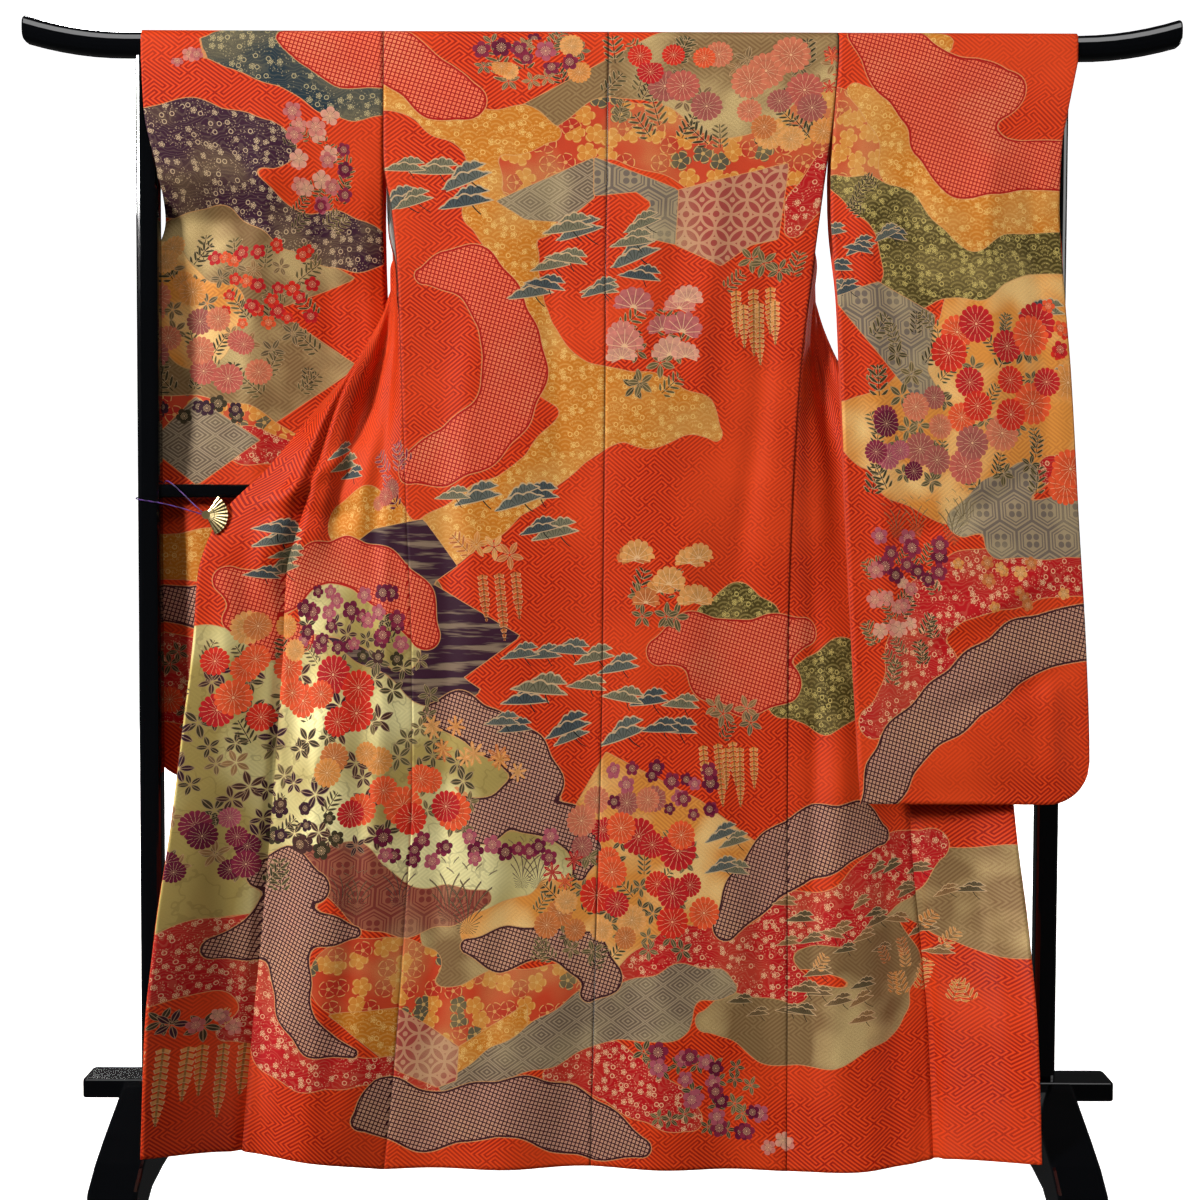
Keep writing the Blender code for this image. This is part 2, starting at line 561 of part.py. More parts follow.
def collar_strip(side):
    """Rows of the collar beside one front, from its lower end up to the shoulder."""
    rows = []
    for height in [h for h in reversed(ROW_HEIGHTS) if h > COLLAR_END_HEIGHT - 0.01]:
        edge = FRONT_WIDTH + okumi_width(height)
        seam = front_point(side, height, edge)
        turned = ease(COLLAR_HEAD_HIGH, COLLAR_HEAD_LOW, height)
        inward = np.array([-side, 0.1, 0.0])
        heading = unit(front_run(side, height, edge) * (1 - turned) + inward * turned)
        folded = 1 - ease(COLLAR_BEHIND_LOW, COLLAR_BEHIND_HIGH, height)
        clear = CLOTH / 2 + SEAM_GAP + COLLAR_THICK / 2 + COLLAR_CLEAR
        row = []
        for c in range(OKUMI_COLUMNS + 1):
            run = COLLAR_WIDTH * c / OKUMI_COLUMNS
            flat = seam + heading * (run + clear) + np.array([0.0, clear * turned, 0.0])
            under = inner_side(side, height, edge - run - 0.002, clear)
            row.append(flat * (1 - folded) + under * folded)
        rows.append(row)
    return rows


def collar_grid():
    """The collar: up one front, round the neck behind the bar and down the other front."""
    left = collar_strip(LEFT)
    right = collar_strip(RIGHT)
    path = drape_over_bar()
    neck_y = path[-1][0] + 0.004
    neck_top = path[-1][1] - 0.006
    arch = []
    count = 10
    low_left, low_right = left[-1], right[-1]
    for i in range(1, count):
        angle = math.pi - math.pi * i / count
        end = low_left if i < count / 2 else low_right
        row = []
        for c, point in enumerate(end):
            reach = abs(math.cos(angle)) ** 0.75
            rise = math.sin(angle) ** 0.75
            top = neck_top - (COLLAR_WIDTH - 0.012) * c / OKUMI_COLUMNS
            x = math.copysign(abs(point[0]) * reach, math.cos(angle))
            y = point[1] + (neck_y + 0.001 * c - point[1]) * rise + 0.004 * math.sin(math.pi * rise)
            row.append(np.array([x, y, point[2] + (top - point[2]) * rise]))
        arch.append(row)
    return left + arch + right[::-1]


def sleeve_layer_point(side, height, across, layer):
    """Sleeve: across runs from 0 at the armhole side to 1 at the cuff; layer -1 faces the viewer."""
    table = SLEEVE_LEFT if side == LEFT else SLEEVE_RIGHT

    def column(name):
        return track(table, name, height)

    inner = max(column("inner"), side_x(side, height) + SEAM_GAP)
    outer = column("outer_front") if layer < 0 else column("outer_back")
    x = inner + (outer - inner) * across
    closing = 1 - across ** 3
    gap = column("outer_gap") + (column("inner_gap") - column("outer_gap")) * closing
    depth = column("inner_depth") + (column("outer_depth") - column("inner_depth")) * across
    bottom = table[-1].height
    hollow = SLEEVE_FOLD * math.sin(math.pi * across) ** 2 * ease(1.45, 1.1, height)
    hollow *= ease(bottom, bottom + 0.12, height)
    depth += hollow * math.sin(2 * math.pi * across + 0.8)
    return np.array([side * x, depth + layer * gap / 2, height])


def sleeve_bottom(side, across):
    """Height of a sleeve's lower edge, with its rounded outer corner."""
    table = SLEEVE_LEFT if side == LEFT else SLEEVE_RIGHT
    lowest = table[-1]
    from_edge = (1 - across) * (lowest.outer_front - lowest.inner)
    if from_edge >= SLEEVE_CORNER:
        return lowest.height
    inside = SLEEVE_CORNER - max(from_edge, 0.0)
    return lowest.height + SLEEVE_CORNER - math.sqrt(max(SLEEVE_CORNER ** 2 - inside ** 2, 0.0))


def sleeve_grid(side):
    """One length of cloth folded over the bar, its two halves meeting at the outer and lower edges."""
    quads = SLEEVE_COLUMNS
    table = SLEEVE_LEFT if side == LEFT else SLEEVE_RIGHT
    stations = [1 - (1 - c / quads) ** 1.35 for c in range(quads + 1)]
    levels = heights_between(DRAPE_BOTTOM, SLEEVE_CORNER_FROM, 0.030)
    lower = heights_between(SLEEVE_CORNER_FROM, table[-1].height, 0.062)[1:]

    def layer_rows(layer):
        rows = []
        for height in levels + lower:
            row = []
            for across in stations:
                bottom = sleeve_bottom(side, across)
                low = table[-1].height
                at = height
                if height < SLEEVE_CORNER_FROM:
                    share = (SLEEVE_CORNER_FROM - height) / (SLEEVE_CORNER_FROM - low)
                    at = SLEEVE_CORNER_FROM - share * (SLEEVE_CORNER_FROM - bottom)
                closed = ease(bottom, bottom + 0.05, at)
                point = sleeve_layer_point(side, at, across, layer)
                other = sleeve_layer_point(side, at, across, -layer)
                middle = (point[1] + other[1]) / 2
                half = abs(point[1] - middle)
                half = SLEEVE_SEAM / 2 + (half - SLEEVE_SEAM / 2) * closed
                row.append(np.array([point[0], middle + layer * half, at]))
            rows.append(row)
        return rows

    front = layer_rows(-1)[::-1]
    back = layer_rows(1)
    inner = max(table[0].inner, side_x(side, DRAPE_BOTTOM) + SEAM_GAP)
    over = [[np.array([side * (inner + (table[0].outer_front - inner) * s), y, z]) for s in stations]
            for y, z in drape_over_bar()]
    return front + over + back


# Stand

def top_bar():
    rings = []
    half = BAR_HALF_LENGTH
    stations = [0.0, BAR_STRAIGHT] + [BAR_STRAIGHT + (half - BAR_STRAIGHT) * i / 6 for i in range(1, 6)]
    stations += [half - 0.003, half]
    stations = [-x for x in reversed(stations)][:-1] + stations
    section = rounded_rectangle(BAR_DEPTH, BAR_HEIGHT, BAR_CORNER)
    for x in stations:
        reach = max(abs(x) - BAR_STRAIGHT, 0.0) / (half - BAR_STRAIGHT)
        rise = BAR_TIP_RISE * reach ** 2
        swell = 1 + 0.08 * reach
        if abs(x) > half - 0.001:
            swell *= 0.86
        middle = BAR_TOP - BAR_HEIGHT / 2 + rise
        rings.append([(x, y * swell, middle + z * swell) for y, z in section])
    lofted_solid("top_bar", rings, "black_lacquer")


def posts():
    section = rounded_rectangle(POST_SIZE, POST_SIZE, 0.007)
    low, high = BOARD_TOP + FIT, BAR_TOP - BAR_HEIGHT - FIT
    for name, side in (("post_left", LEFT), ("post_right", RIGHT)):
        rings = [[(side * POST_X + x, y, z) for x, y in section] for z in (low, high)]
        lofted_solid(name, rings, "black_lacquer")


def middle_rail():
    half = POST_X - POST_SIZE / 2 - FIT
    middle = (RAIL_TOP + RAIL_BOTTOM) / 2
    section = rounded_rectangle(RAIL_DEPTH, RAIL_TOP - RAIL_BOTTOM, 0.005)
    rings = [[(x, y, middle + z) for y, z in section] for x in (-half, half)]
    lofted_solid("middle_rail", rings, "black_lacquer")


def base_board():
    height = BOARD_TOP - BOARD_BOTTOM
    middle = (BOARD_TOP + BOARD_BOTTOM) / 2
    rings = []
    for x, scale in ((-BOARD_HALF_LENGTH, 0.94), (-BOARD_HALF_LENGTH + 0.004, 1.0),
                     (BOARD_HALF_LENGTH - 0.004, 1.0), (BOARD_HALF_LENGTH, 0.94)):
        section = rounded_rectangle(BOARD_DEPTH * scale, height * scale, 0.004)
        rings.append([(x, y, middle + z) for y, z in section])
    lofted_solid("base_board", rings, "black_lacquer")


def foot_profile():
    """Closed outline of a foot in depth and height: an arch with a notch for the board."""
    notch = BOARD_DEPTH / 2 + FIT
    floor = BOARD_BOTTOM - FIT
    half = [(p.depth, p.height) for p in FOOT_OUTER] + [(notch, FOOT_SHOULDER), (notch, floor)]
    arch = [(p.depth, p.height) for p in FOOT_INNER_CURVE]
    outline = half + [(-y, z) for y, z in reversed(half)]
    outline += [(-y, z) for y, z in reversed(arch)]
    outline += arch[1:]
    return outline


def feet():
    outline = foot_profile()
    for name, side in (("foot_left", LEFT), ("foot_right", RIGHT)):
        inner, outer = side * FOOT_INNER, side * (FOOT_INNER + FOOT_WIDTH)
        rings = [[(x, y, z) for y, z in outline] for x in (inner, outer)]
        obj = lofted_solid(name, rings, "black_lacquer")
        bevel = obj.modifiers.new("edge", "BEVEL")
        bevel.width = FOOT_BEVEL
        bevel.segments = 2
        bevel.limit_method = "WEIGHT"
        weights = obj.data.attributes.new("bevel_weight_edge", "FLOAT", "EDGE")
        for edge in obj.data.edges:
            first, second = (obj.data.vertices[i].co for i in edge.vertices)
            along_side = abs(first.x - second.x) < 1e-6
            on_floor = first.z < 1e-6 and second.z < 1e-6
            beside_board = max(abs(first.y), abs(second.y)) < BOARD_DEPTH / 2 + 0.001
            in_notch = beside_board and min(first.z, second.z) > BOARD_BOTTOM / 2
            rounded = along_side and not on_floor and not in_notch
            weights.data[edge.index].value = 1.0 if rounded else 0.0


# Clip

def clip_plate(name, outline, front, back):
    """A flat plate of the clip between two depths."""
    rings = [[(CLIP_X + x, y, CLIP_Z + z) for x, z in outline] for y in (front, back)]
    return lofted_solid(name, rings, "gold_metal")


def fan_clip():
    """A small folding fan of metal on a spring clip that holds the wing's edge."""
    steps = FAN_RIBS * 2
    radii = (0.0045, 0.016, FAN_RADIUS)
    rows = []
    for i in range(steps + 1):
        angle = FAN_START + (FAN_END - FAN_START) * i / steps
        ridge = FAN_RELIEF * (1 if i % 2 else -1)
        rows.append([np.array([CLIP_X + r * math.cos(angle), FAN_FRONT - ridge * r / FAN_RADIUS,
                               CLIP_Z + r * math.sin(angle)]) for r in radii])
    fan = sheet_solid("fan_clip", rows, FAN_PLATE, "gold_metal", borders=False)
    turns = [math.tau * i / 16 for i in range(16)]
    stem_ring = [(PIVOT_RADIUS * math.cos(t), -PIVOT_RADIUS * math.sin(t)) for t in turns]
    pivot_ring = [(x * PIVOT_HEAD, z * PIVOT_HEAD) for x, z in stem_ring]
    pivot = clip_plate("clip_pivot", pivot_ring, FAN_FRONT - 0.0013, FAN_FRONT + 0.0017)
    stem = clip_plate("clip_stem", stem_ring, FAN_FRONT, JAW_BACK)
    jaw = clip_plate("clip_jaw", JAW_OUTLINE, JAW_BACK, JAW_BACK - JAW_PLATE)
    for tool in (pivot, stem, jaw):
        tool.hide_render = True
        tool.display_type = "WIRE"
        join = fan.modifiers.new(tool.name, "BOOLEAN")
        join.operation = "UNION"
        join.object = tool


def clip_cord():
    """Thin silk cord tied to the clip, round the left post and back over the rail."""
    points = [np.array(point) for point in CORD_ROUTE]
    knots = np.arange(len(points), dtype=float)
    count = (len(points) - 1) * CORD_STEPS
    curve = bpy.data.curves.new("clip_cord", "CURVE")
    curve.dimensions = "3D"
    curve.bevel_depth = CORD_RADIUS
    curve.bevel_resolution = 1
    curve.use_fill_caps = True
    spline = curve.splines.new("POLY")
    spline.points.add(count)
    for i in range(count + 1):
        x, y, z = curve_through(knots, points, i / CORD_STEPS)
        spline.points[i].co = (x, y, z, 1.0)
    curve.materials.append(material("cord_silk"))
    obj = bpy.data.objects.new("clip_cord", curve)
    bpy.context.collection.objects.link(obj)


def garment():
    for name, side in (("left", LEFT), ("right", RIGHT)):
        sheet_solid("body_" + name, body_grid(side), CLOTH, "outer_silk")
        sheet_solid("okumi_" + name, okumi_grid(side), CLOTH, "outer_silk")
        sheet_solid("sleeve_" + name, sleeve_grid(side), CLOTH, "outer_silk", borders=False)
        sheet_solid("lining_" + name, lining_grid(side), LINING, "lining_silk", borders=False)
    sheet_solid("collar", collar_grid(), COLLAR_THICK, "outer_silk", borders=False)


def stand():
    top_bar()
    posts()
    middle_rail()
    base_board()
    feet()


clear_scene()
garment()
stand()
fan_clip()
clip_cord()
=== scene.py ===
"""Looks of a furisode hung open over a black lacquered kimono stand.

Metres, +Z up, the viewer looks along +Y. The cloth is built from the panels' own tables, with their
cut coordinates, and the dyed pattern is drawn on those coordinates by the shaders.
"""
import math
import random
from collections import namedtuple
from functools import cache, reduce

import bpy
import numpy as np
from mathutils import Matrix, Vector


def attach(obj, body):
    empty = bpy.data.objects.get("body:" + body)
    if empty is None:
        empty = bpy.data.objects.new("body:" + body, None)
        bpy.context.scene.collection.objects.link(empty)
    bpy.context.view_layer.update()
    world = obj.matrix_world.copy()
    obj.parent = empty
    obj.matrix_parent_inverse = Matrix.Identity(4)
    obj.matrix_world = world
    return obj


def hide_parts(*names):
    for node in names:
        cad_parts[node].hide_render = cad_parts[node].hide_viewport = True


LEFT, RIGHT = -1, 1
SIDE_NAMES = {LEFT: "left", RIGHT: "right"}
CLOTH = 0.0018
LINING = 0.0008
LINING_CLEAR = 0.0007
LINING_LOW, LINING_HIGH = 1.305, 1.605
COLLAR_THICK = 0.0028
SEAM_GAP = 0.0001
SEAM_TURN_ROOM = 0.0004                            # more room where two panels meet at an angle
SIDE_SEAM_FLAT, SIDE_SEAM_SHARP = 0.85, 1.10       # heights between which that room comes in
OKUMI_SEAM_FLAT, OKUMI_SEAM_SHARP = 0.95, 1.15
SEAM_TUCK, TUCK_ROOM = 0.005, 0.0006               # how far a seam's lower layer runs under the upper
TUCK_FROM, TUCK_FULL = 1.30, 1.24                  # heights between which the front goes under the back
FRONT_WIDTH = 0.24
GATHER_WAVE = 0.085
COLLAR_WIDTH = 0.055
COLLAR_CLEAR = 0.001 + SEAM_GAP + COLLAR_THICK / 2 + 0.0008
KENSAKI_HEIGHT = 1.46
OKUMI_TOP = KENSAKI_HEIGHT - 0.055
COLLAR_END_HEIGHT = 0.825
HEM_HEIGHT = 0.052
SLEEVE_CORNER = 0.06
SLEEVE_CORNER_FROM = 1.40
SLEEVE_SEAM = 0.0023
BAR_TOP, BAR_DEPTH, BAR_CORNER = 1.680, 0.040, 0.012
DRAPE_OFFSET = 0.0018
DRAPE_BOTTOM = 1.64
DRAPE_STEPS = 6

# Fineness of the cloth: the rows' distance and the points across
STEP, COLLAR_STEP = 0.0055, 0.008
NECK_ROWS, COLLAR_ARCH_ROWS = 8, 30
BODY_COLUMNS, OKUMI_COLUMNS, SLEEVE_COLUMNS, COLLAR_COLUMNS = 61, 29, 63, 9

PX = 0.001447             # metres of cloth for one unit of the pattern's layout

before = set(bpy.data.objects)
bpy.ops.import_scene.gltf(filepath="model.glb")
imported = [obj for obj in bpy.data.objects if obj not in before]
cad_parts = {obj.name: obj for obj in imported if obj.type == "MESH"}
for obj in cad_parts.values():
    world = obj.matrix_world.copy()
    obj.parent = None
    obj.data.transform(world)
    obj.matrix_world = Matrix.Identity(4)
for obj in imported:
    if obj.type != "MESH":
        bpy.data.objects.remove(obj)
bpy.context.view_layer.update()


# Tables of the hang, the same as the solids have

BACK = """height left right centre side_depth centre_depth fold
1.640 0.3110 0.3360 0.009 -0.0225 -0.0225 0.000
1.560 0.3110 0.3297 0.008 -0.0270 -0.0270 0.000
1.500 0.3105 0.3215 0.008 -0.0290 -0.0300 0.001
1.420 0.2980 0.3110 0.007 -0.0310 -0.0340 0.002
1.350 0.2912 0.3020 0.006 -0.0325 -0.0370 0.002
1.200 0.2850 0.2850 0.006 -0.0350 -0.0410 0.003
1.000 0.2780 0.2740 0.005 -0.0390 -0.0450 0.003
0.800 0.2700 0.2695 0.004 -0.0430 -0.0480 0.004
0.600 0.2690 0.2700 0.001 -0.0460 -0.0500 0.005
0.400 0.2800 0.2710 -0.004 -0.0500 -0.0530 0.006
0.200 0.2940 0.2720 -0.008 -0.0560 -0.0570 0.008
0.052 0.3085 0.2720 -0.011 -0.0600 -0.0600 0.009"""
FRONT_TITLES = ("height side_out side_depth mid_out mid_depth seam_out seam_depth edge_out edge_depth "
                "mid_rise seam_rise edge_rise gather\n")
FRONT_LEFT = FRONT_TITLES + """\
1.640 0.3105 0.0225 0.200 0.0225 0.095 0.0225 0.065 0.0225 0 0 0 0.000
1.560 0.3105 0.0260 0.215 0.0500 0.130 0.0500 0.100 0.0500 0 0 0 0.005
1.460 0.3105 0.0220 0.262 0.0700 0.195 0.0800 0.165 0.0780 0 0 0 0.008
1.400 0.3060 0.0000 0.275 0.0550 0.238 0.0850 0.222 0.0930 0 0 0 0.007
1.345 0.2925 -0.0320 0.300 0.0150 0.285 0.0650 0.268 0.0880 0 0 0 0.004
1.262 0.2885 -0.0335 0.302 0.0000 0.324 0.0000 0.305 0.0350 0 0 0 0.002
1.163 0.2835 -0.0357 0.325 0.0000 0.372 -0.0340 0.395 0.0000 0 0 0 0.002
1.063 0.2800 -0.0378 0.345 -0.0280 0.405 -0.0430 0.472 -0.0320 0 0 0 0.002
0.983 0.2775 -0.0394 0.360 -0.0300 0.432 -0.0460 0.548 -0.0360 0 0 0 0.002
0.905 0.2742 -0.0410 0.365 -0.0340 0.453 -0.0400 0.574 -0.0460 0 0 0 0.000
0.825 0.2710 -0.0425 0.365 -0.0480 0.456 -0.0370 0.579 -0.0520 0 0 0 0.000
0.685 0.2680 -0.0447 0.368 -0.0580 0.464 -0.0380 0.591 -0.0750 0 0 0.004 0.000
0.535 0.2720 -0.0472 0.375 -0.0680 0.475 -0.0420 0.603 -0.1050 0 0.004 0.012 0.000
0.385 0.2810 -0.0504 0.385 -0.0800 0.487 -0.0500 0.617 -0.1420 0.004 0.012 0.024 0.000
0.235 0.2915 -0.0550 0.398 -0.0920 0.499 -0.0700 0.622 -0.1850 0.012 0.024 0.042 0.000
0.052 0.3085 -0.0600 0.408 -0.1020 0.509 -0.1080 0.622 -0.2120 0.022 0.041 0.064 0.000"""
FRONT_RIGHT = FRONT_TITLES + """\
1.640 0.3355 0.0225 0.210 0.0225 0.098 0.0225 0.068 0.0225 0 0 0 0.000
1.560 0.3285 0.0260 0.225 0.0500 0.135 0.0500 0.105 0.0500 0 0 0 0.005
1.460 0.3170 0.0220 0.270 0.0700 0.200 0.0800 0.170 0.0780 0 0 0 0.008
1.400 0.3090 0.0000 0.285 0.0500 0.245 0.0820 0.229 0.0900 0 0 0 0.007
1.345 0.3018 -0.0320 0.306 0.0150 0.296 0.0560 0.282 0.0780 0 0 0 0.004
1.262 0.2915 -0.0335 0.304 0.0000 0.322 0.0100 0.316 0.0380 0 0 0 0.002
1.163 0.2825 -0.0357 0.322 -0.0040 0.360 -0.0160 0.385 0.0100 0 0 0 0.002
1.063 0.2770 -0.0378 0.345 -0.0180 0.400 -0.0320 0.462 -0.0240 0 0 0 0.002
0.983 0.2735 -0.0394 0.352 -0.0240 0.418 -0.0340 0.530 -0.0300 0 0 0 0.002
0.905 0.2715 -0.0410 0.356 -0.0300 0.430 -0.0360 0.560 -0.0360 0 0 0 0.000
0.825 0.2700 -0.0425 0.358 -0.0400 0.434 -0.0380 0.572 -0.0420 0 0 0 0.000
0.685 0.2695 -0.0447 0.362 -0.0500 0.442 -0.0420 0.582 -0.0560 0 0 0.004 0.000
0.535 0.2700 -0.0472 0.366 -0.0600 0.449 -0.0480 0.590 -0.0880 0 0.004 0.012 0.000
0.385 0.2710 -0.0504 0.370 -0.0720 0.462 -0.0540 0.600 -0.1340 0.003 0.010 0.024 0.000
0.235 0.2718 -0.0550 0.374 -0.0840 0.474 -0.0660 0.604 -0.1800 0.007 0.019 0.042 0.000
0.052 0.2720 -0.0600 0.374 -0.1000 0.480 -0.1000 0.605 -0.2080 0.012 0.031 0.060 0.000"""
OKUMI = """height width
1.460 0.000
0.825 0.135
0.052 0.150"""
OKUMI_LEAST = 0.030
SLEEVE_TITLES = "height inner outer_front outer_back inner_depth outer_depth inner_gap outer_gap\n"
SLEEVE_LEFT = SLEEVE_TITLES + """\
1.640 0.3113 0.6555 0.6555 0.0000 0.0000 0.0450 0.0450
1.560 0.3113 0.6500 0.6520 0.0010 0.0000 0.0530 0.0540
1.480 0.3120 0.6330 0.6400 0.0080 0.0030 0.0500 0.0540
1.445 0.3130 0.6290 0.6340 0.0140 0.0130 0.0460 0.0300
1.410 0.3140 0.6320 0.6320 0.0220 0.0240 0.0420 0.0023
1.360 0.3145 0.6480 0.6480 0.0380 0.0246 0.0360 0.0023
1.300 0.3140 0.6540 0.6540 0.0520 0.0246 0.0300 0.0023
1.200 0.3130 0.6560 0.6560 0.0580 0.0246 0.0240 0.0023
1.050 0.3120 0.6570 0.6570 0.0460 0.0246 0.0200 0.0023
0.800 0.3110 0.6570 0.6570 0.0360 0.0246 0.0170 0.0023
0.605 0.3110 0.6570 0.6570 0.0250 0.0246 0.0023 0.0023"""
SLEEVE_RIGHT = SLEEVE_TITLES + """\
1.640 0.3368 0.6765 0.6765 0.0000 0.0000 0.0450 0.0450
1.560 0.3300 0.6600 0.6620 -0.0040 -0.0030 0.0500 0.0540
1.520 0.3270 0.6530 0.6310 -0.0080 -0.0060 0.0480 0.0540
1.465 0.3245 0.6500 0.6290 -0.0140 -0.0240 0.0440 0.0260
1.435 0.3245 0.6490 0.6310 -0.0180 -0.0345 0.0420 0.0100
1.410 0.3250 0.6495 0.6495 -0.0220 -0.0385 0.0400 0.0023
1.300 0.3340 0.6575 0.6575 -0.0400 -0.0450 0.0240 0.0023
1.200 0.3380 0.6650 0.6650 -0.0500 -0.0540 0.0200 0.0023
1.000 0.3460 0.6750 0.6750 -0.0660 -0.0690 0.0160 0.0023
0.800 0.3560 0.6850 0.6850 -0.0810 -0.0860 0.0140 0.0023
0.650 0.3640 0.6885 0.6885 -0.0940 -0.0990 0.0120 0.0023
0.590 0.3670 0.6885 0.6885 -0.1025 -0.1040 0.0023 0.0023"""


def rows_of(text):
    """The words of each row of a table, below its line of titles."""
    return [line.split() for line in text.split("\n")[1:]]


def hermite(low, high, start, end, k):
    """A smooth curve from low to high that sets out at the rate start and arrives at the rate end."""
    return (low * (1 + 2 * k) * (1 - k) ** 2 + high * k * k * (3 - 2 * k)
            + start * k * (1 - k) ** 2 - end * k * k * (1 - k))


class Table:
    """Columns read at any heights, on smooth curves that don't swing past their rows."""

    def __init__(self, text):
        self.names = text.split("\n")[0].split()
        self.rows = np.array([[float(word) for word in row] for row in rows_of(text)])
        self.keys = -self.rows[:, 0]
        spans = np.diff(self.keys)
        self.slopes = {}
        for i, name in enumerate(self.names):
            rates = np.diff(self.rows[:, i]) / spans
            slope = np.zeros(len(self.keys))
            slope[0], slope[-1] = rates[0], rates[-1]
            before, after = rates[:-1], rates[1:]
            same = before * after > 0
            total = np.where(same, before + after, 1.0)
            slope[1:-1] = np.where(same, 2 * before * after / total, 0.0)
            self.slopes[name] = slope

    def at(self, name, heights):
        heights = np.asarray(heights, float)
        values = self.rows[:, self.names.index(name)]
        at = np.clip(-heights, self.keys[0], self.keys[-1])
        i = np.clip(np.searchsorted(self.keys, at) - 1, 0, len(self.keys) - 2)
        span = self.keys[i + 1] - self.keys[i]
        k = (at - self.keys[i]) / span
        slopes = self.slopes[name]
        return hermite(values[i], values[i + 1], slopes[i] * span, slopes[i + 1] * span, k)

    def last(self, name):
        return self.rows[-1, self.names.index(name)]

    def first(self, name):
        return self.rows[0, self.names.index(name)]


back_table = Table(BACK)
front_tables = {LEFT: Table(FRONT_LEFT), RIGHT: Table(FRONT_RIGHT)}
okumi_table = Table(OKUMI)
sleeve_tables = {LEFT: Table(SLEEVE_LEFT), RIGHT: Table(SLEEVE_RIGHT)}


def ease(start, end, value):
    """0 at start, 1 at end and beyond, and smooth between; end may lie below start."""
    k = np.clip((np.asarray(value, float) - start) / (end - start), 0.0, 1.0)
    return k * k * (3 - 2 * k)


def spaced(top, bottom, step=STEP):
    count = max(1, round(abs(top - bottom) / step))
    return np.linspace(top, bottom, count + 1)


def side_x(side, heights):
    return back_table.at(SIDE_NAMES[side], heights)


# The layout, in units of the pattern
BODY_SEAM_X = 600.0
BODY_HALF = 206.0
TOP_Y, TOP_Y_HEIGHT = 33.0, 1.683
FRONT_UNIT, V_UNIT = 0.0016, 0.00143      # metres for a unit across the front and along the cloth
SLEEVE_PLACES = {LEFT: (385.0, 231.0), RIGHT: (838.0, 250.0)}
COLLAR_PLACE, COLLAR_SIZE = (2000, 40), (38, 1380)


def layout_y(heights):
    return TOP_Y + (TOP_Y_HEIGHT - heights) / V_UNIT


def body_layout(side, off, y):
    """Layout places of the body's cloth, off units away from the centre seam."""
    return np.stack(np.broadcast_arrays(BODY_SEAM_X + side * off, y), axis=-1)


def sleeve_layout(side, across, y):
    start, wide = SLEEVE_PLACES[side]
    return np.stack(np.broadcast_arrays(start + side * wide * across, y), axis=-1)


# Folds of the hang by their two ends on the layout, width in layout units and height in millimetres
FOLDS = """cloth x0 y0 x1 y1 width rise
B 700 110 706 450 13 4.2
B 668 120 660 420 15 -3.8
B 696 430 712 900 22 3.8
B 768 180 752 640 14 -4.8
B 742 640 728 1180 24 5.4
B 656 700 640 1190 22 -5.1
B 566 640 548 1190 24 5.1
B 545 120 552 520 14 -3.2
B 470 260 452 700 16 3.8
B 424 400 436 1190 14 -4.5
B 506 800 488 1190 18 -5.4
B 778 820 792 1190 16 -4.2
B 190 512 330 436 10 5.6
B 192 519 350 512 11 -5.1
B 192 523 340 610 11 5.1
B 188 530 282 730 13 -5.8
B 180 545 222 820 13 5.8
B 244 330 243 640 7 -8.5
B 244 420 244 1480 4.5 -9.0
B 222 350 226 650 11 5.5
B 292 320 298 560 14 -6.0
B 336 330 344 600 15 5.0
B 302 620 272 1190 17 7.4
B 346 560 332 1190 15 -6.7
B 214 760 196 1190 18 -7.0
B 372 420 352 980 10 3.8
B 957 700 956 1500 4.5 -10.0
B 932 800 936 1300 13 5.0
B 858 620 858 1190 18 7.0
B 958 740 988 1190 18 7.0
B 1012 800 1024 1190 12 -5.4
B 832 480 838 1190 10 -4.2
B 930 420 960 760 16 3.5
S 204 110 192 500 17 -5.4
S 262 70 256 600 15 4.8
S 322 110 334 720 15 -4.8
S 366 110 372 700 9 3.5
S 172 420 236 760 16 4.2
S 880 70 872 800 15 5.1
S 930 110 952 540 16 -5.1
S 1002 70 1012 500 17 5.1
S 1052 110 1064 580 13 -4.5
S 852 566 1066 462 13 -4.5
S 872 646 1086 562 12 4.8
S 902 726 1092 652 13 -4.8
S 1040 640 1056 800 12 3.8"""
FOLD_ROWS = [(cloth, *(float(word) for word in numbers)) for cloth, *numbers in rows_of(FOLDS)]
FOLD_END = 0.3
SWAY, SWAY_TURNS = 0.35, 7
RIPPLE = 0.0006
BAR_LOW_Y, FOLDS_FULL_Y = 62, 130       # layout heights between which the folds come in below the bar


def relief(cloth, x, y):
    """How far the folds lift the cloth toward the viewer at a place of the layout, in metres."""
    lift = RIPPLE * np.sin(x / 23 + 1.1 * np.sin(y / 83)) * np.sin(y / 61 + 0.9 * np.sin(x / 47))
    for owner, x0, y0, x1, y1, width, rise in FOLD_ROWS:
        if owner != cloth:
            continue
        dx, dy = x1 - x0, y1 - y0
        long = math.hypot(dx, dy)
        along = ((x - x0) * dx + (y - y0) * dy) / long ** 2
        sway = SWAY * width * np.sin(along * SWAY_TURNS + x0)
        off = ((x - x0) * dy - (y - y0) * dx) / long + sway
        ends = ease(0.0, FOLD_END, along) * ease(1.0, 1.0 - FOLD_END, along)
        lift = lift + rise * 0.001 * np.exp(-(off / width) ** 2) * ends
    return lift * ease(BAR_LOW_Y, FOLDS_FULL_Y, y)


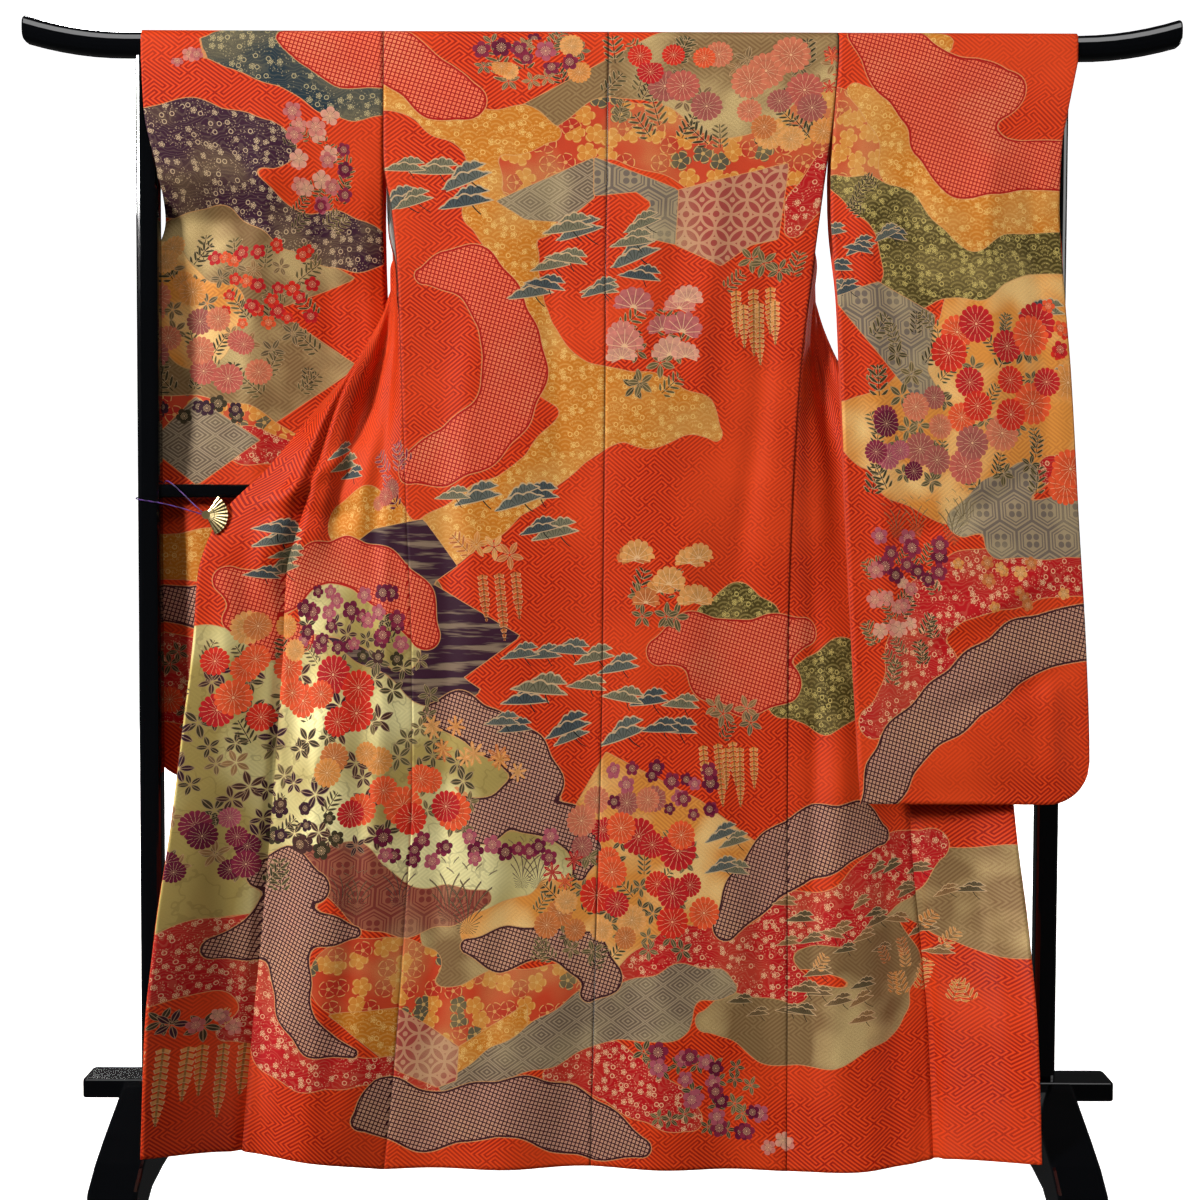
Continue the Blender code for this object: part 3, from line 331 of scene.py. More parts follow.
def back_points(side, heights, across):
    """Back panel: across runs from 0 at the side edge to 1 at the centre seam."""
    heights, across = np.asarray(heights, float)[..., None], np.asarray(across, float)
    centre = back_table.at("centre", heights)
    edge = side_x(side, heights)
    x = side * edge * (1 - across) + centre * across
    spread = np.minimum(np.abs(x - centre) / (edge + np.abs(centre)), 1.0)
    depth = back_table.at("centre_depth", heights) * (1 - spread ** 2)
    depth += back_table.at("side_depth", heights) * spread ** 2
    turn = x * math.tau / 0.23 + 0.6 + heights * 0.5
    wave = back_table.at("fold", heights) * np.cos(turn) * (1 - spread ** 4)
    lift = 0.004 * (1 - spread) * ease(0.4, HEM_HEIGHT, heights)
    depth = depth + wave - relief("B", BODY_SEAM_X + side * BODY_HALF * (1 - across), layout_y(heights))
    return np.stack([x, depth, heights + lift + 0 * x], axis=-1)


def okumi_width(heights):
    return okumi_table.at("width", heights)


def curve_points(side, heights, across):
    """The plain run of a front's rows through its four knots."""
    table = front_tables[side]
    heights = np.broadcast_to(np.asarray(heights, float), across.shape)

    points = []
    for place in ("side", "mid", "seam", "edge"):
        rise = 0.0 if place == "side" else table.at(place + "_rise", heights)
        points.append(np.stack([side * table.at(place + "_out", heights), table.at(place + "_depth", heights),
                                heights + rise], axis=-1))
    edge = FRONT_WIDTH + np.maximum(okumi_width(heights), OKUMI_LEAST)
    zero = np.zeros_like(edge)
    knots = [zero, zero + FRONT_WIDTH / 2, zero + FRONT_WIDTH, edge]
    slopes = []
    for j in range(4):
        low, high = max(j - 1, 0), min(j + 1, 3)
        slopes.append((points[high] - points[low]) / (knots[high] - knots[low])[..., None])
    result = points[0] + slopes[0] * across[..., None]
    for i in range(3):
        span = knots[i + 1] - knots[i]
        k = np.clip((across - knots[i]) / span, 0.0, 1.0)[..., None]
        wide = span[..., None]
        piece = hermite(points[i], points[i + 1], slopes[i] * wide, slopes[i + 1] * wide, k)
        result = np.where((across > knots[i])[..., None], piece, result)
    beyond = points[3] + slopes[3] * (across - knots[3])[..., None]
    return np.where((across > knots[3])[..., None], beyond, result)


def front_points(side, heights, across):
    """Front and okumi: across is the cut distance from the side seam."""
    across = np.asarray(across, float)
    here = curve_points(side, heights, across)
    ahead = curve_points(side, heights, across + 0.004) - curve_points(side, heights, across - 0.004)
    normal = np.stack([-ahead[..., 1], ahead[..., 0], 0 * across], axis=-1)
    normal /= np.linalg.norm(normal, axis=-1, keepdims=True)
    gather = front_tables[side].at("gather", np.broadcast_to(heights, across.shape))
    window = ease(0.0, 0.06, across) * (1 - ease(FRONT_WIDTH - 0.05, FRONT_WIDTH + 0.01, across))
    here = here + normal * (gather * window * np.sin(across * math.tau / GATHER_WAVE))[..., None]
    x = BODY_SEAM_X + side * (BODY_HALF + across / FRONT_UNIT)
    here[..., 1] -= relief("B", x, layout_y(heights) + 0 * across)
    return here


def drape_path():
    """Depth and height of the cloth's middle from the front of the bar over its top to the back."""
    side = BAR_DEPTH / 2 + DRAPE_OFFSET
    radius = BAR_CORNER + DRAPE_OFFSET
    centre_y, centre_z = side - radius, BAR_TOP + DRAPE_OFFSET - radius
    angles = [math.pi - math.pi / 2 * i / DRAPE_STEPS for i in range(DRAPE_STEPS + 1)]
    path = [(-centre_y + radius * math.cos(a), centre_z + radius * math.sin(a)) for a in angles]
    path += [(centre_y - radius * math.cos(a), centre_z + radius * math.sin(a)) for a in reversed(angles)]
    return path


def over_bar(places):
    """Rows of points over the bar at the places along it."""
    return np.array([[(x, y, z) for x in places] for y, z in drape_path()])


def drape_rows():
    """Layout Y of the cloth over the bar: it falls to the top's middle and mirrors behind it."""
    path = np.array(drape_path())
    arc = np.concatenate([[0.0], np.cumsum(np.hypot(*np.diff(path, axis=0).T))])
    half = arc[-1] / 2
    rise = (path[0, 1] - DRAPE_BOTTOM + half) / V_UNIT
    return layout_y(DRAPE_BOTTOM) - rise + np.abs(arc - half) / V_UNIT


def unit(vector):
    return vector / np.linalg.norm(vector, axis=-1, keepdims=True)


def grid_normals(grid):
    return unit(np.cross(np.gradient(grid, axis=0), np.gradient(grid, axis=1)))


def seam_room(heights, start, end):
    return SEAM_TURN_ROOM * ease(start, end, heights)


BODY_HEIGHTS = spaced(DRAPE_BOTTOM - 0.004, HEM_HEIGHT)


def body_cloth(side):
    """Points and layout of one length of cloth from the back hem over the bar to the front hem."""
    columns = np.linspace(0, 1, BODY_COLUMNS)
    heights = BODY_HEIGHTS[::-1]
    edge = (SEAM_GAP / 2 / side_x(side, heights))[:, None]
    across = edge + (1 - 2 * edge) * columns
    grids = [back_points(side, heights, across)]
    plans = [body_layout(side, BODY_HALF * (1 - across), layout_y(heights)[:, None])]

    centre = back_table.first("centre") + side * SEAM_GAP / 2
    side_edge = side * (side_x(side, DRAPE_BOTTOM) - SEAM_GAP / 2)
    grids.append(over_bar(side_edge + (centre - side_edge) * columns))
    plans.append(body_layout(side, BODY_HALF * (1 - columns), drape_rows()[:, None]))

    top_y, top = drape_path()[-1]
    table = front_tables[side]
    for i in range(1, NECK_ROWS + 1):
        drop = i / NECK_ROWS
        height = top - (top - DRAPE_BOTTOM) * drop
        start = side * table.at("side_out", height) * drop + side_edge * (1 - drop)
        neck = side * table.first("seam_out") * math.sqrt(1 - (1 - drop) ** 2)
        y = top_y + (table.first("side_depth") - top_y) * drop
        x = start + (neck - start) * columns
        grids.append(np.stack(np.broadcast_arrays(x, y, height), axis=-1)[None])
        off = BODY_HALF + FRONT_WIDTH / FRONT_UNIT * columns
        plans.append(body_layout(side, off, layout_y(height))[None])

    heights = BODY_HEIGHTS[:, None]
    first = SEAM_GAP / 2 + seam_room(heights, SIDE_SEAM_FLAT, SIDE_SEAM_SHARP)
    last = FRONT_WIDTH - SEAM_GAP / 2 - seam_room(heights, OKUMI_SEAM_FLAT, OKUMI_SEAM_SHARP)
    along = first + (last - first) * columns
    front = front_points(side, heights, along)
    tuck = back_points(side, BODY_HEIGHTS, np.full((1, 1), SEAM_TUCK) / side_x(side, BODY_HEIGHTS)[:, None])
    tuck[..., 1] += CLOTH + TUCK_ROOM
    deep = ease(TUCK_FROM, TUCK_FULL, heights)[..., None]
    front[:, :1] = front[:, :1] * (1 - deep) + tuck * deep
    grids.append(front)
    plans.append(body_layout(side, BODY_HALF + along / FRONT_UNIT, layout_y(heights)))
    return np.concatenate(grids), np.concatenate(plans)


def okumi_cloth(side):
    heights = spaced(OKUMI_TOP, HEM_HEIGHT)[:, None]
    columns = np.linspace(0, 1, OKUMI_COLUMNS)
    first = FRONT_WIDTH + SEAM_GAP / 2 + seam_room(heights, OKUMI_SEAM_FLAT, OKUMI_SEAM_SHARP)
    last = FRONT_WIDTH + okumi_width(heights)
    along = first + (last - first) * columns
    grid = front_points(side, heights, along)
    tuck_at = np.full_like(along[:, :1], FRONT_WIDTH - SEAM_TUCK)
    tuck = front_points(side, heights, tuck_at)
    run = front_points(side, heights, tuck_at + 0.003) - front_points(side, heights, tuck_at - 0.003)
    inward = unit(np.stack([-run[..., 1], run[..., 0], 0 * run[..., 2]], axis=-1)) * side
    grid[:, :1] = tuck + inward * (CLOTH + TUCK_ROOM)
    return grid, body_layout(side, BODY_HALF + along / FRONT_UNIT, layout_y(heights))


def sleeve_layer(side, heights, across, layer):
    """Sleeve: across runs from 0 at the armhole side to 1 at the cuff; layer -1 faces the viewer."""
    table = sleeve_tables[side]
    inner = np.maximum(table.at("inner", heights), side_x(side, heights) + SEAM_GAP)
    outer = table.at("outer_front" if layer < 0 else "outer_back", heights)
    x = inner + (outer - inner) * across
    outer_gap = table.at("outer_gap", heights)
    gap = outer_gap + (table.at("inner_gap", heights) - outer_gap) * (1 - across ** 3)
    inner_depth = table.at("inner_depth", heights)
    depth = inner_depth + (table.at("outer_depth", heights) - inner_depth) * across
    bottom = table.last("height")
    hollow = 0.004 * np.sin(math.pi * across) ** 2 * ease(1.45, 1.1, heights)
    hollow = hollow * ease(bottom, bottom + 0.12, heights)
    start, wide = SLEEVE_PLACES[side]
    depth = depth + hollow * np.sin(2 * math.pi * across + 0.8)
    depth = depth - relief("S", start + side * wide * across, layout_y(heights) + 0 * across)
    return side * x, depth, gap


def sleeve_cloth(side):
    """One length of cloth folded over the bar, its halves meeting at the outer and lower edges."""
    table = sleeve_tables[side]
    columns = np.linspace(0, 1, SLEEVE_COLUMNS)
    across = 1 - (1 - columns) ** 1.15
    low = table.last("height")
    heights = spaced(DRAPE_BOTTOM, low)[:, None]
    from_edge = (1 - across) * (table.last("outer_front") - table.last("inner"))
    inside = np.clip(SLEEVE_CORNER - from_edge, 0.0, None)
    bottom = low + SLEEVE_CORNER - np.sqrt(np.maximum(SLEEVE_CORNER ** 2 - inside ** 2, 0.0))
    share = np.maximum(SLEEVE_CORNER_FROM - heights, 0.0) / (SLEEVE_CORNER_FROM - low)
    at = np.where(heights < SLEEVE_CORNER_FROM, SLEEVE_CORNER_FROM - share * (SLEEVE_CORNER_FROM - bottom),
                  heights + 0 * bottom)
    closed = ease(0.0, 0.05, at - bottom)
    layers = []
    plan = sleeve_layout(side, across, layout_y(at))
    for layer in (-1, 1):
        x, depth, gap = sleeve_layer(side, at, across + 0 * at, layer)
        half = SLEEVE_SEAM / 2 + (gap / 2 - SLEEVE_SEAM / 2) * closed
        layers.append(np.stack([x, depth + layer * half, at], axis=-1))
    inner = max(table.first("inner"), float(side_x(side, DRAPE_BOTTOM)) + SEAM_GAP)
    wide_top = table.first("outer_front") - inner
    over = over_bar(side * (inner + wide_top * across))
    over_plan = sleeve_layout(side, across, drape_rows()[:, None])
    return np.concatenate([layers[0][::-1], over, layers[1]]), np.concatenate([plan[::-1], over_plan, plan])


def front_at(side, places, height):
    """Points of a front at one height."""
    places = np.atleast_1d(np.asarray(places, float))
    return front_points(side, np.full_like(places, height), places)


def run_at(side, places, height):
    """Directions across a front at one height."""
    return unit(front_at(side, places + 0.01, height) - front_at(side, places - 0.01, height))


def collar_strip(side):
    """Rows of the collar beside one front, from its lower end up to the shoulder."""
    rows = []
    clear = COLLAR_CLEAR
    run = COLLAR_WIDTH * np.linspace(0, 1, COLLAR_COLUMNS)
    for height in spaced(COLLAR_END_HEIGHT - 0.004, DRAPE_BOTTOM - 0.02, COLLAR_STEP):
        edge = FRONT_WIDTH + float(okumi_width(height))
        turned = float(ease(1.40, 1.25, height))
        heading = unit(run_at(side, edge, height)[0] * (1 - turned) + np.array([-side, 0.1, 0.0]) * turned)
        folded = 1 - float(ease(1.02, 1.12, height))
        lift = (run + clear)[:, None]
        flat = front_at(side, edge, height)[0] + heading * lift + np.array([0.0, clear * turned, 0.0])
        under_at = edge - run - 0.002
        up = front_at(side, under_at, height + 0.01) - front_at(side, under_at, height - 0.01)
        inward = unit(-side * np.cross(run_at(side, under_at, height), up))
        under = front_at(side, under_at, height) + inward * clear
        rows.append(flat * (1 - folded) + under * folded)
    return rows


def collar_cloth():
    left, right = collar_strip(LEFT), collar_strip(RIGHT)
    back_y, back_top = drape_path()[-1]
    neck_y, neck_top = back_y + 0.004, back_top - 0.006
    arch = []
    share = np.linspace(0, 1, COLLAR_COLUMNS)
    for i in range(1, COLLAR_ARCH_ROWS):
        angle = math.pi - math.pi * i / COLLAR_ARCH_ROWS
        end = left[-1] if i < COLLAR_ARCH_ROWS / 2 else right[-1]
        reach = abs(math.cos(angle)) ** 0.75
        rise = math.sin(angle) ** 0.75
        x = np.copysign(np.abs(end[:, 0]) * reach, math.cos(angle))
        bow = 0.004 * math.sin(math.pi * rise)
        y = end[:, 1] + (neck_y + 0.004 * share - end[:, 1]) * rise + bow
        top = neck_top - (COLLAR_WIDTH - 0.012) * share
        arch.append(np.stack([x, y, end[:, 2] + (top - end[:, 2]) * rise], axis=-1))
    grid = np.array(left + arch + right[::-1])
    along = np.linspace(0, COLLAR_SIZE[1], len(grid))[:, None]
    x, y = COLLAR_PLACE[0] + COLLAR_SIZE[0] * share, COLLAR_PLACE[1] + along
    return grid, np.stack(np.broadcast_arrays(x, y), axis=-1)


# Pattern plan: what lies where on the layout

PANELS = """cloth filling corners
B olive_mist 516,112 650,33 846,33 842,90 784,96 770,130 730,150 700,150 668,132 648,104 600,100 560,134
B diamonds 495,204 588,160 588,200 560,224 522,222
B kikko 588,160 668,192 668,246 622,236 644,206 628,194 588,198
B shippo 668,192 770,165 768,240 742,246 714,267 668,246
B shippo 394,1010 460,1050 460,1084 440,1092 394,1072
B mustard 326,1018 396,1010 396,1072
B mustard 460,1050 530,1004 530,1044 460,1080
B water 296,566 352,530 412,520 446,566 418,584 512,636 450,678 470,690 420,730 330,700 290,640
B orange_field 516,902 606,752 710,800 800,862 724,922 646,986 560,950
S diamonds 198,396 262,440 200,486 152,446
S olive_mist 150,222 210,196 356,276 276,308 276,340 150,340
S olive_mist 276,308 356,364 268,428 150,400 150,340
S kikko 832,298 884,284 944,316 932,372 944,392 918,400"""

# Clouds are runs of round lobes: x, y and radius of each
CLOUDS = """cloth filling lobes
B autumn 486,190,14 508,176,20 550,160,20 600,128,26 640,140,30 690,168,24 740,166,28 800,140,44 838,140,44
B crimson 812,176,22 786,208,14 782,230,10
B mustard 386,98,16 420,100,16 448,124,14 480,132,18 520,134,22 550,138,8
B mustard 486,150,14 486,180,14 484,200,12 478,214,14 500,224,20 536,226,14
B mustard 500,232,22 512,262,20 524,292,12 532,318,8 536,346,16 552,376,24 600,402,32 650,412,34 700,414,18 718,432,8
B mustard 590,420,28 548,458,22 520,486,22 480,510,26 430,540,24 398,560,20
B mustard 306,524,18 340,512,24 372,522,22 392,540,16
B kanoko_red 388,52,34 410,66,26 446,96,26 470,104,18
B kanoko_red 420,280,8 446,274,18 470,272,24 490,300,26 504,340,26 510,376,30 500,410,26 466,440,28 430,462,24 400,470,16
B kanoko_red 662,652,14 700,640,26 742,650,30 790,640,24 826,632,14
B kanoko_red 716,676,22 760,690,24 800,684,20
B olive_dark 716,614,12 746,604,20 778,622,18 796,640,10
B olive_dark 800,700,18 836,690,30 872,664,26 884,690,24 850,716,16
B olive_mist 372,580,22 404,600,24 430,640,26 404,676,24 372,690,18
B kanoko_red 190,580,14 218,596,22 250,590,20 276,566,20 320,560,22 360,576,26 396,604,24 410,636,16
B kanoko_red 200,620,12 236,640,18 270,640,14
B gold_leaf 290,610,26 330,604,34 370,620,34 384,652,20
B gold_leaf 130,700,40 176,680,50 230,690,50 290,690,44 340,710,40 380,740,34 430,744,34 478,762,34 500,772,26
B gold_leaf 130,780,50 190,780,60 260,790,60 330,800,60 390,820,50 440,840,40 500,848,34 556,846,30 580,836,20
B gold_leaf 130,900,52 186,876,48 230,876,48
B gold_leaf 400,870,30 470,884,24 520,880,18
B kanoko_dark 418,716,12 446,712,20 480,732,20 520,756,22 540,782,18 508,800,18 476,820,20 450,812,16
B kanoko_dark 520,816,18 566,826,18 588,850,14 582,872,8
B kikko_red 298,862,16 334,870,28 362,900,28 396,916,22 440,906,18 478,898,8
B kanoko_dark 240,884,14 272,878,24 302,886,16
B kanoko_dark 270,900,26 266,930,30 240,950,20 204,958,12
B kanoko_dark 276,930,28 318,930,14 344,932,6
B kanoko_dark 274,950,26 286,990,20 290,1020,18 313,1045,15 352,1057,5
B kanoko_dark 464,946,8 500,950,20 548,944,14 590,956,22 612,978,16 594,996,8
B kanoko_dark 738,926,14 764,894,24 798,860,30 842,838,32 884,826,26 916,836,10
B crimson 618,982,6 650,970,16 690,952,24 734,952,30 776,966,30 812,988,18
B crimson 780,948,24 816,920,26 862,914,26 900,890,30 936,868,32 974,846,16
B crimson 140,985,34 190,965,36 235,965,38 256,1000,28 260,1035,24 274,1066,22 305,1078,20 345,1076,14
B crimson 345,1076,14 390,1076,12 430,1094,8 462,1098,5
B crimson 240,1045,16 222,1048,11
B crimson 556,1078,8 586,1068,16 612,1072,26 650,1094,26 686,1112,22 706,1122,12
B autumn 345,978,40 390,980,38 424,968,14
B autumn 400,1010,22 450,1020,26 500,1006,34 560,994,24 584,1002,10
B olive_mist 566,872,12 520,886,14 480,902,14 436,934,22 452,974,26 486,984,14
B orange_field 560,900,22 510,912,22 470,930,16
B diamonds 450,1090,6 500,1068,16 550,1046,22 600,1018,26 650,1012,30 674,1010,30 692,986,18 732,984,13 748,988,5
B olive_mist 718,1022,10 750,1016,22 790,1032,34 846,1026,38 900,1014,30 926,1008,12
B olive_mist 812,960,12 858,944,26 900,950,36 922,970,28 900,990,24
B olive_mist 930,905,14 990,898,46 1034,905,54 1070,910,54
B kanoko_dark 366,1126,8 392,1112,28 430,1128,28 480,1114,26 530,1110,28 570,1124,34 610,1138,26 652,1152,10
S kanoko_red 296,44,12 322,48,22 350,58,30 392,60,34
S teal 216,52,10 244,52,20 276,60,26 308,78,20 330,96,18 356,106,14 392,104,14
S teal 262,40,16 292,42,10
S night_purple 150,140,24 200,134,30 244,144,26 276,150,20 290,152,8
S night_purple 160,184,32 190,182,22 222,176,24 250,204,18 290,230,16 330,236,24 362,246,20 392,250,12
S orange_field 160,270,30 180,300,34 200,330,34 226,300,20
S autumn 150,420,26 196,424,28 244,432,24 290,446,12
S crimson 216,436,12 250,446,16 292,456,12
S mustard 150,560,22 210,556,24 290,560,22 392,574,24
S kanoko_dark 150,606,18 214,610,22 290,622,20 392,612,22
S crimson 150,680,44 230,690,44 310,700,40 392,704,36
S autumn 838,110,20 862,130,26 872,160,26 838,150,26
S mustard 856,92,8 890,112,16 918,136,24 918,168,24 950,200,24 980,226,34 1020,216,34 1060,206,28 1096,206,28
S mustard 930,42,12 948,48,12
S kanoko_red 862,36,14 900,62,34 940,94,38 985,98,36 1016,96,22
S kanoko_red 950,138,28 985,158,40 1020,168,26 1096,168,24
S olive_dark 842,184,8 876,198,18 910,220,26 926,254,34 920,286,24 900,292,14
S olive_dark 950,268,36 990,278,20 1030,258,18 1096,254,22
S orange_field 990,320,38 1030,306,38 1096,310,40
S orange_field 836,420,18 866,430,34 910,424,38 960,380,50 1010,340,50 1060,330,50 1096,340,50
S orange_field 900,470,30 950,480,40 1010,450,50 1070,420,50
S kikko 962,520,14 1000,500,22 1030,478,18
S kikko 1000,540,16 1046,530,26 1096,520,34
S crimson 1060,470,14 1096,478,32
S crimson 884,690,18 900,650,24 922,606,28 966,580,30 1014,570,30 1060,566,26 1096,570,24
S crimson 858,716,16 890,700,26 930,660,20
S kanoko_dark 850,800,14 868,770,22 892,736,24 934,704,26 976,672,26 1020,642,26 1096,628,28"""


def read_shapes(text):
    """Rows of cloth, filling and number groups."""
    return [(cloth, filling, [tuple(float(word) for word in group.split(",")) for group in groups])
            for cloth, filling, *groups in rows_of(text)]


def smaller(a, b, blend):
    """The smaller of two distances, rounded where they cross."""
    share = np.clip(0.5 + 0.5 * (b - a) / blend, 0.0, 1.0)
    return b + (a - b) * share - blend * share * (1 - share)


def nearest_share(x, y, ax, ay, dx, dy):
    """How far along a stretch from (ax, ay) its point nearest to x and y lies."""
    return np.clip(((x - ax) * dx + (y - ay) * dy) / (dx * dx + dy * dy), 0, 1)


def cloud_distance(lobes, x, y):
    """Distance in layout units to a run of lobes, negative inside."""
    result = np.full(x.shape, FAR)
    for (ax, ay, ar), (bx, by, br) in zip(lobes, lobes[1:]):
        dx, dy = bx - ax, by - ay
        k = nearest_share(x, y, ax, ay, dx, dy)
        result = smaller(result, np.hypot(x - ax - k * dx, y - ay - k * dy) - ar - (br - ar) * k, LOBE_BLEND)
    return result


def panel_distance(corners, x, y):
    """Distance in layout units to a straight-sided panel, negative inside."""
    best = np.full(x.shape, FAR * FAR)
    inside = np.zeros(x.shape, bool)
    for (ax, ay), (bx, by) in zip(corners, corners[1:] + corners[:1]):
        dx, dy = bx - ax, by - ay
        k = nearest_share(x, y, ax, ay, dx, dy)
        best = np.minimum(best, (x - ax - k * dx) ** 2 + (y - ay - k * dy) ** 2)
        rise = dy or LEAST_RISE
        inside ^= ((ay > y) != (by > y)) & (x < ax + (y - ay) * dx / rise)
    return np.where(inside, -1, 1) * np.sqrt(best)


FAR = 99.0
LEAST_RISE = 1e-9
LOBE_BLEND = 12.0
WAVER = 1.6
# Bottom to top: each filling covers those before it. haze says how much of its gold is sprinkled over it,
# its bright grains painted glints as well as gold; gold_leaf has its gold in patches of painted highlight instead.
FILLINGS = """filling base line gold haze shine
olive_mist 0.215,0.118,0.046 0.42,0.28,0.12 0.74,0.54,0.23 0.85 0.12
orange_field 0.74,0.29,0.050 0.44,0.10,0.015 0.96,0.72,0.30 0.85 0.10
autumn 0.58,0.055,0.018 0.76,0.44,0.13 0.66,0.42,0.14 0.45 0
mustard 0.60,0.19,0.015 0.80,0.50,0.15 0.78,0.56,0.20 0.30 0.10
water 0.040,0.011,0.024 0.30,0.21,0.13 0,0,0 0 0
gold_leaf 0.45,0.33,0.095 0.25,0.18,0.05 0.92,0.82,0.40 0 0.30
crimson 0.50,0.007,0.010 0.80,0.52,0.28 0.78,0.56,0.20 0.10 0
night_purple 0.045,0.012,0.028 0.64,0.46,0.27 0.78,0.56,0.20 0.2 0
teal 0.014,0.030,0.042 0.47,0.38,0.19 0.78,0.56,0.20 0.2 0
olive_dark 0.070,0.048,0.010 0.62,0.48,0.14 0.78,0.56,0.20 0.2 0
diamonds 0.155,0.105,0.066 0.42,0.31,0.19 0.66,0.52,0.26 0.40 0.08
shippo 0.36,0.060,0.045 0.62,0.32,0.17 0.66,0.52,0.26 0.40 0
kikko 0.36,0.265,0.155 0.11,0.085,0.080 0.66,0.52,0.26 0.40 0.08
kikko_red 0.34,0.105,0.055 0.17,0.014,0.016 0.66,0.52,0.26 0.40 0
kanoko_dark 0.050,0.010,0.014 0.64,0.33,0.22 0.80,0.46,0.22 0.35 0
kanoko_red 0.42,0.008,0.006 0.88,0.19,0.085 0.80,0.46,0.22 0.35 0"""
Style = namedtuple("Style", "base line gold haze shine")
STYLES = {filling: Style(*(tuple(float(word) for word in colour.split(",")) for colour in colours),
                         float(haze), float(shine))
          for filling, *colours, haze, shine in rows_of(FILLINGS)}
FILLS = list(STYLES)
MIXED = len(FILLS)
CLOUD_ROWS, PANEL_ROWS = read_shapes(CLOUDS), read_shapes(PANELS)


def filling_distances(cloth, x, y):
    """Distance to each filling of a cloth, on an outline that wavers a little."""
    wavy_x = x + WAVER * np.sin(y / 19 + 0.7 * np.sin(x / 31))
    wavy_y = y + WAVER * np.sin(x / 21 + 1.3 + 0.8 * np.sin(y / 27))
    fields = {filling: np.full(x.shape, FAR) for filling in FILLS}
    for owner, filling, corners in PANEL_ROWS:
        if owner == cloth:
            fields[filling] = np.minimum(fields[filling], panel_distance(corners, x, y))
    for owner, filling, lobes in CLOUD_ROWS:
        if owner == cloth:
            fields[filling] = smaller(fields[filling], cloud_distance(lobes, wavy_x, wavy_y), LOBE_BLEND)
    return fields


# Flowers, leaves and trees: kinds, and tints as one word each
KINDS = ["", "mum", "plum", "pine", "spray", "wisteria", "maple", "grass", "leaf", "daisy"]
FLOWERS = ("mum", "plum", "maple", "daisy")
FLATNESS = {"pine": 1.9, "daisy": 1.7}                # how much wider than high a kind is
TINTS = {
    "red": ((0.62, 0.022, 0.010), (0.50, 0.012, 0.015), (0.74, 0.085, 0.022)),
    "mauve": ((0.13, 0.008, 0.030), (0.22, 0.018, 0.045), (0.42, 0.085, 0.115)),
    "green": ((0.060, 0.048, 0.018), (0.10, 0.080, 0.030), (0.15, 0.11, 0.040)),
    "blue": ((0.130, 0.140, 0.115), (0.205, 0.185, 0.110), (0.072, 0.088, 0.090)),
    "bronze": ((0.20, 0.12, 0.05), (0.31, 0.16, 0.06), (0.13, 0.09, 0.04)),
    "ochre": ((0.66, 0.25, 0.055), (0.72, 0.32, 0.090), (0.56, 0.16, 0.04)),
    "pink": ((0.62, 0.20, 0.15), (0.50, 0.13, 0.12), (0.66, 0.30, 0.20)),
    "dusty": ((0.50, 0.10, 0.07), (0.60, 0.16, 0.08), (0.36, 0.09, 0.07)),
    "dark": ((0.035, 0.008, 0.018), (0.060, 0.020, 0.016), (0.045, 0.032, 0.014)),
}

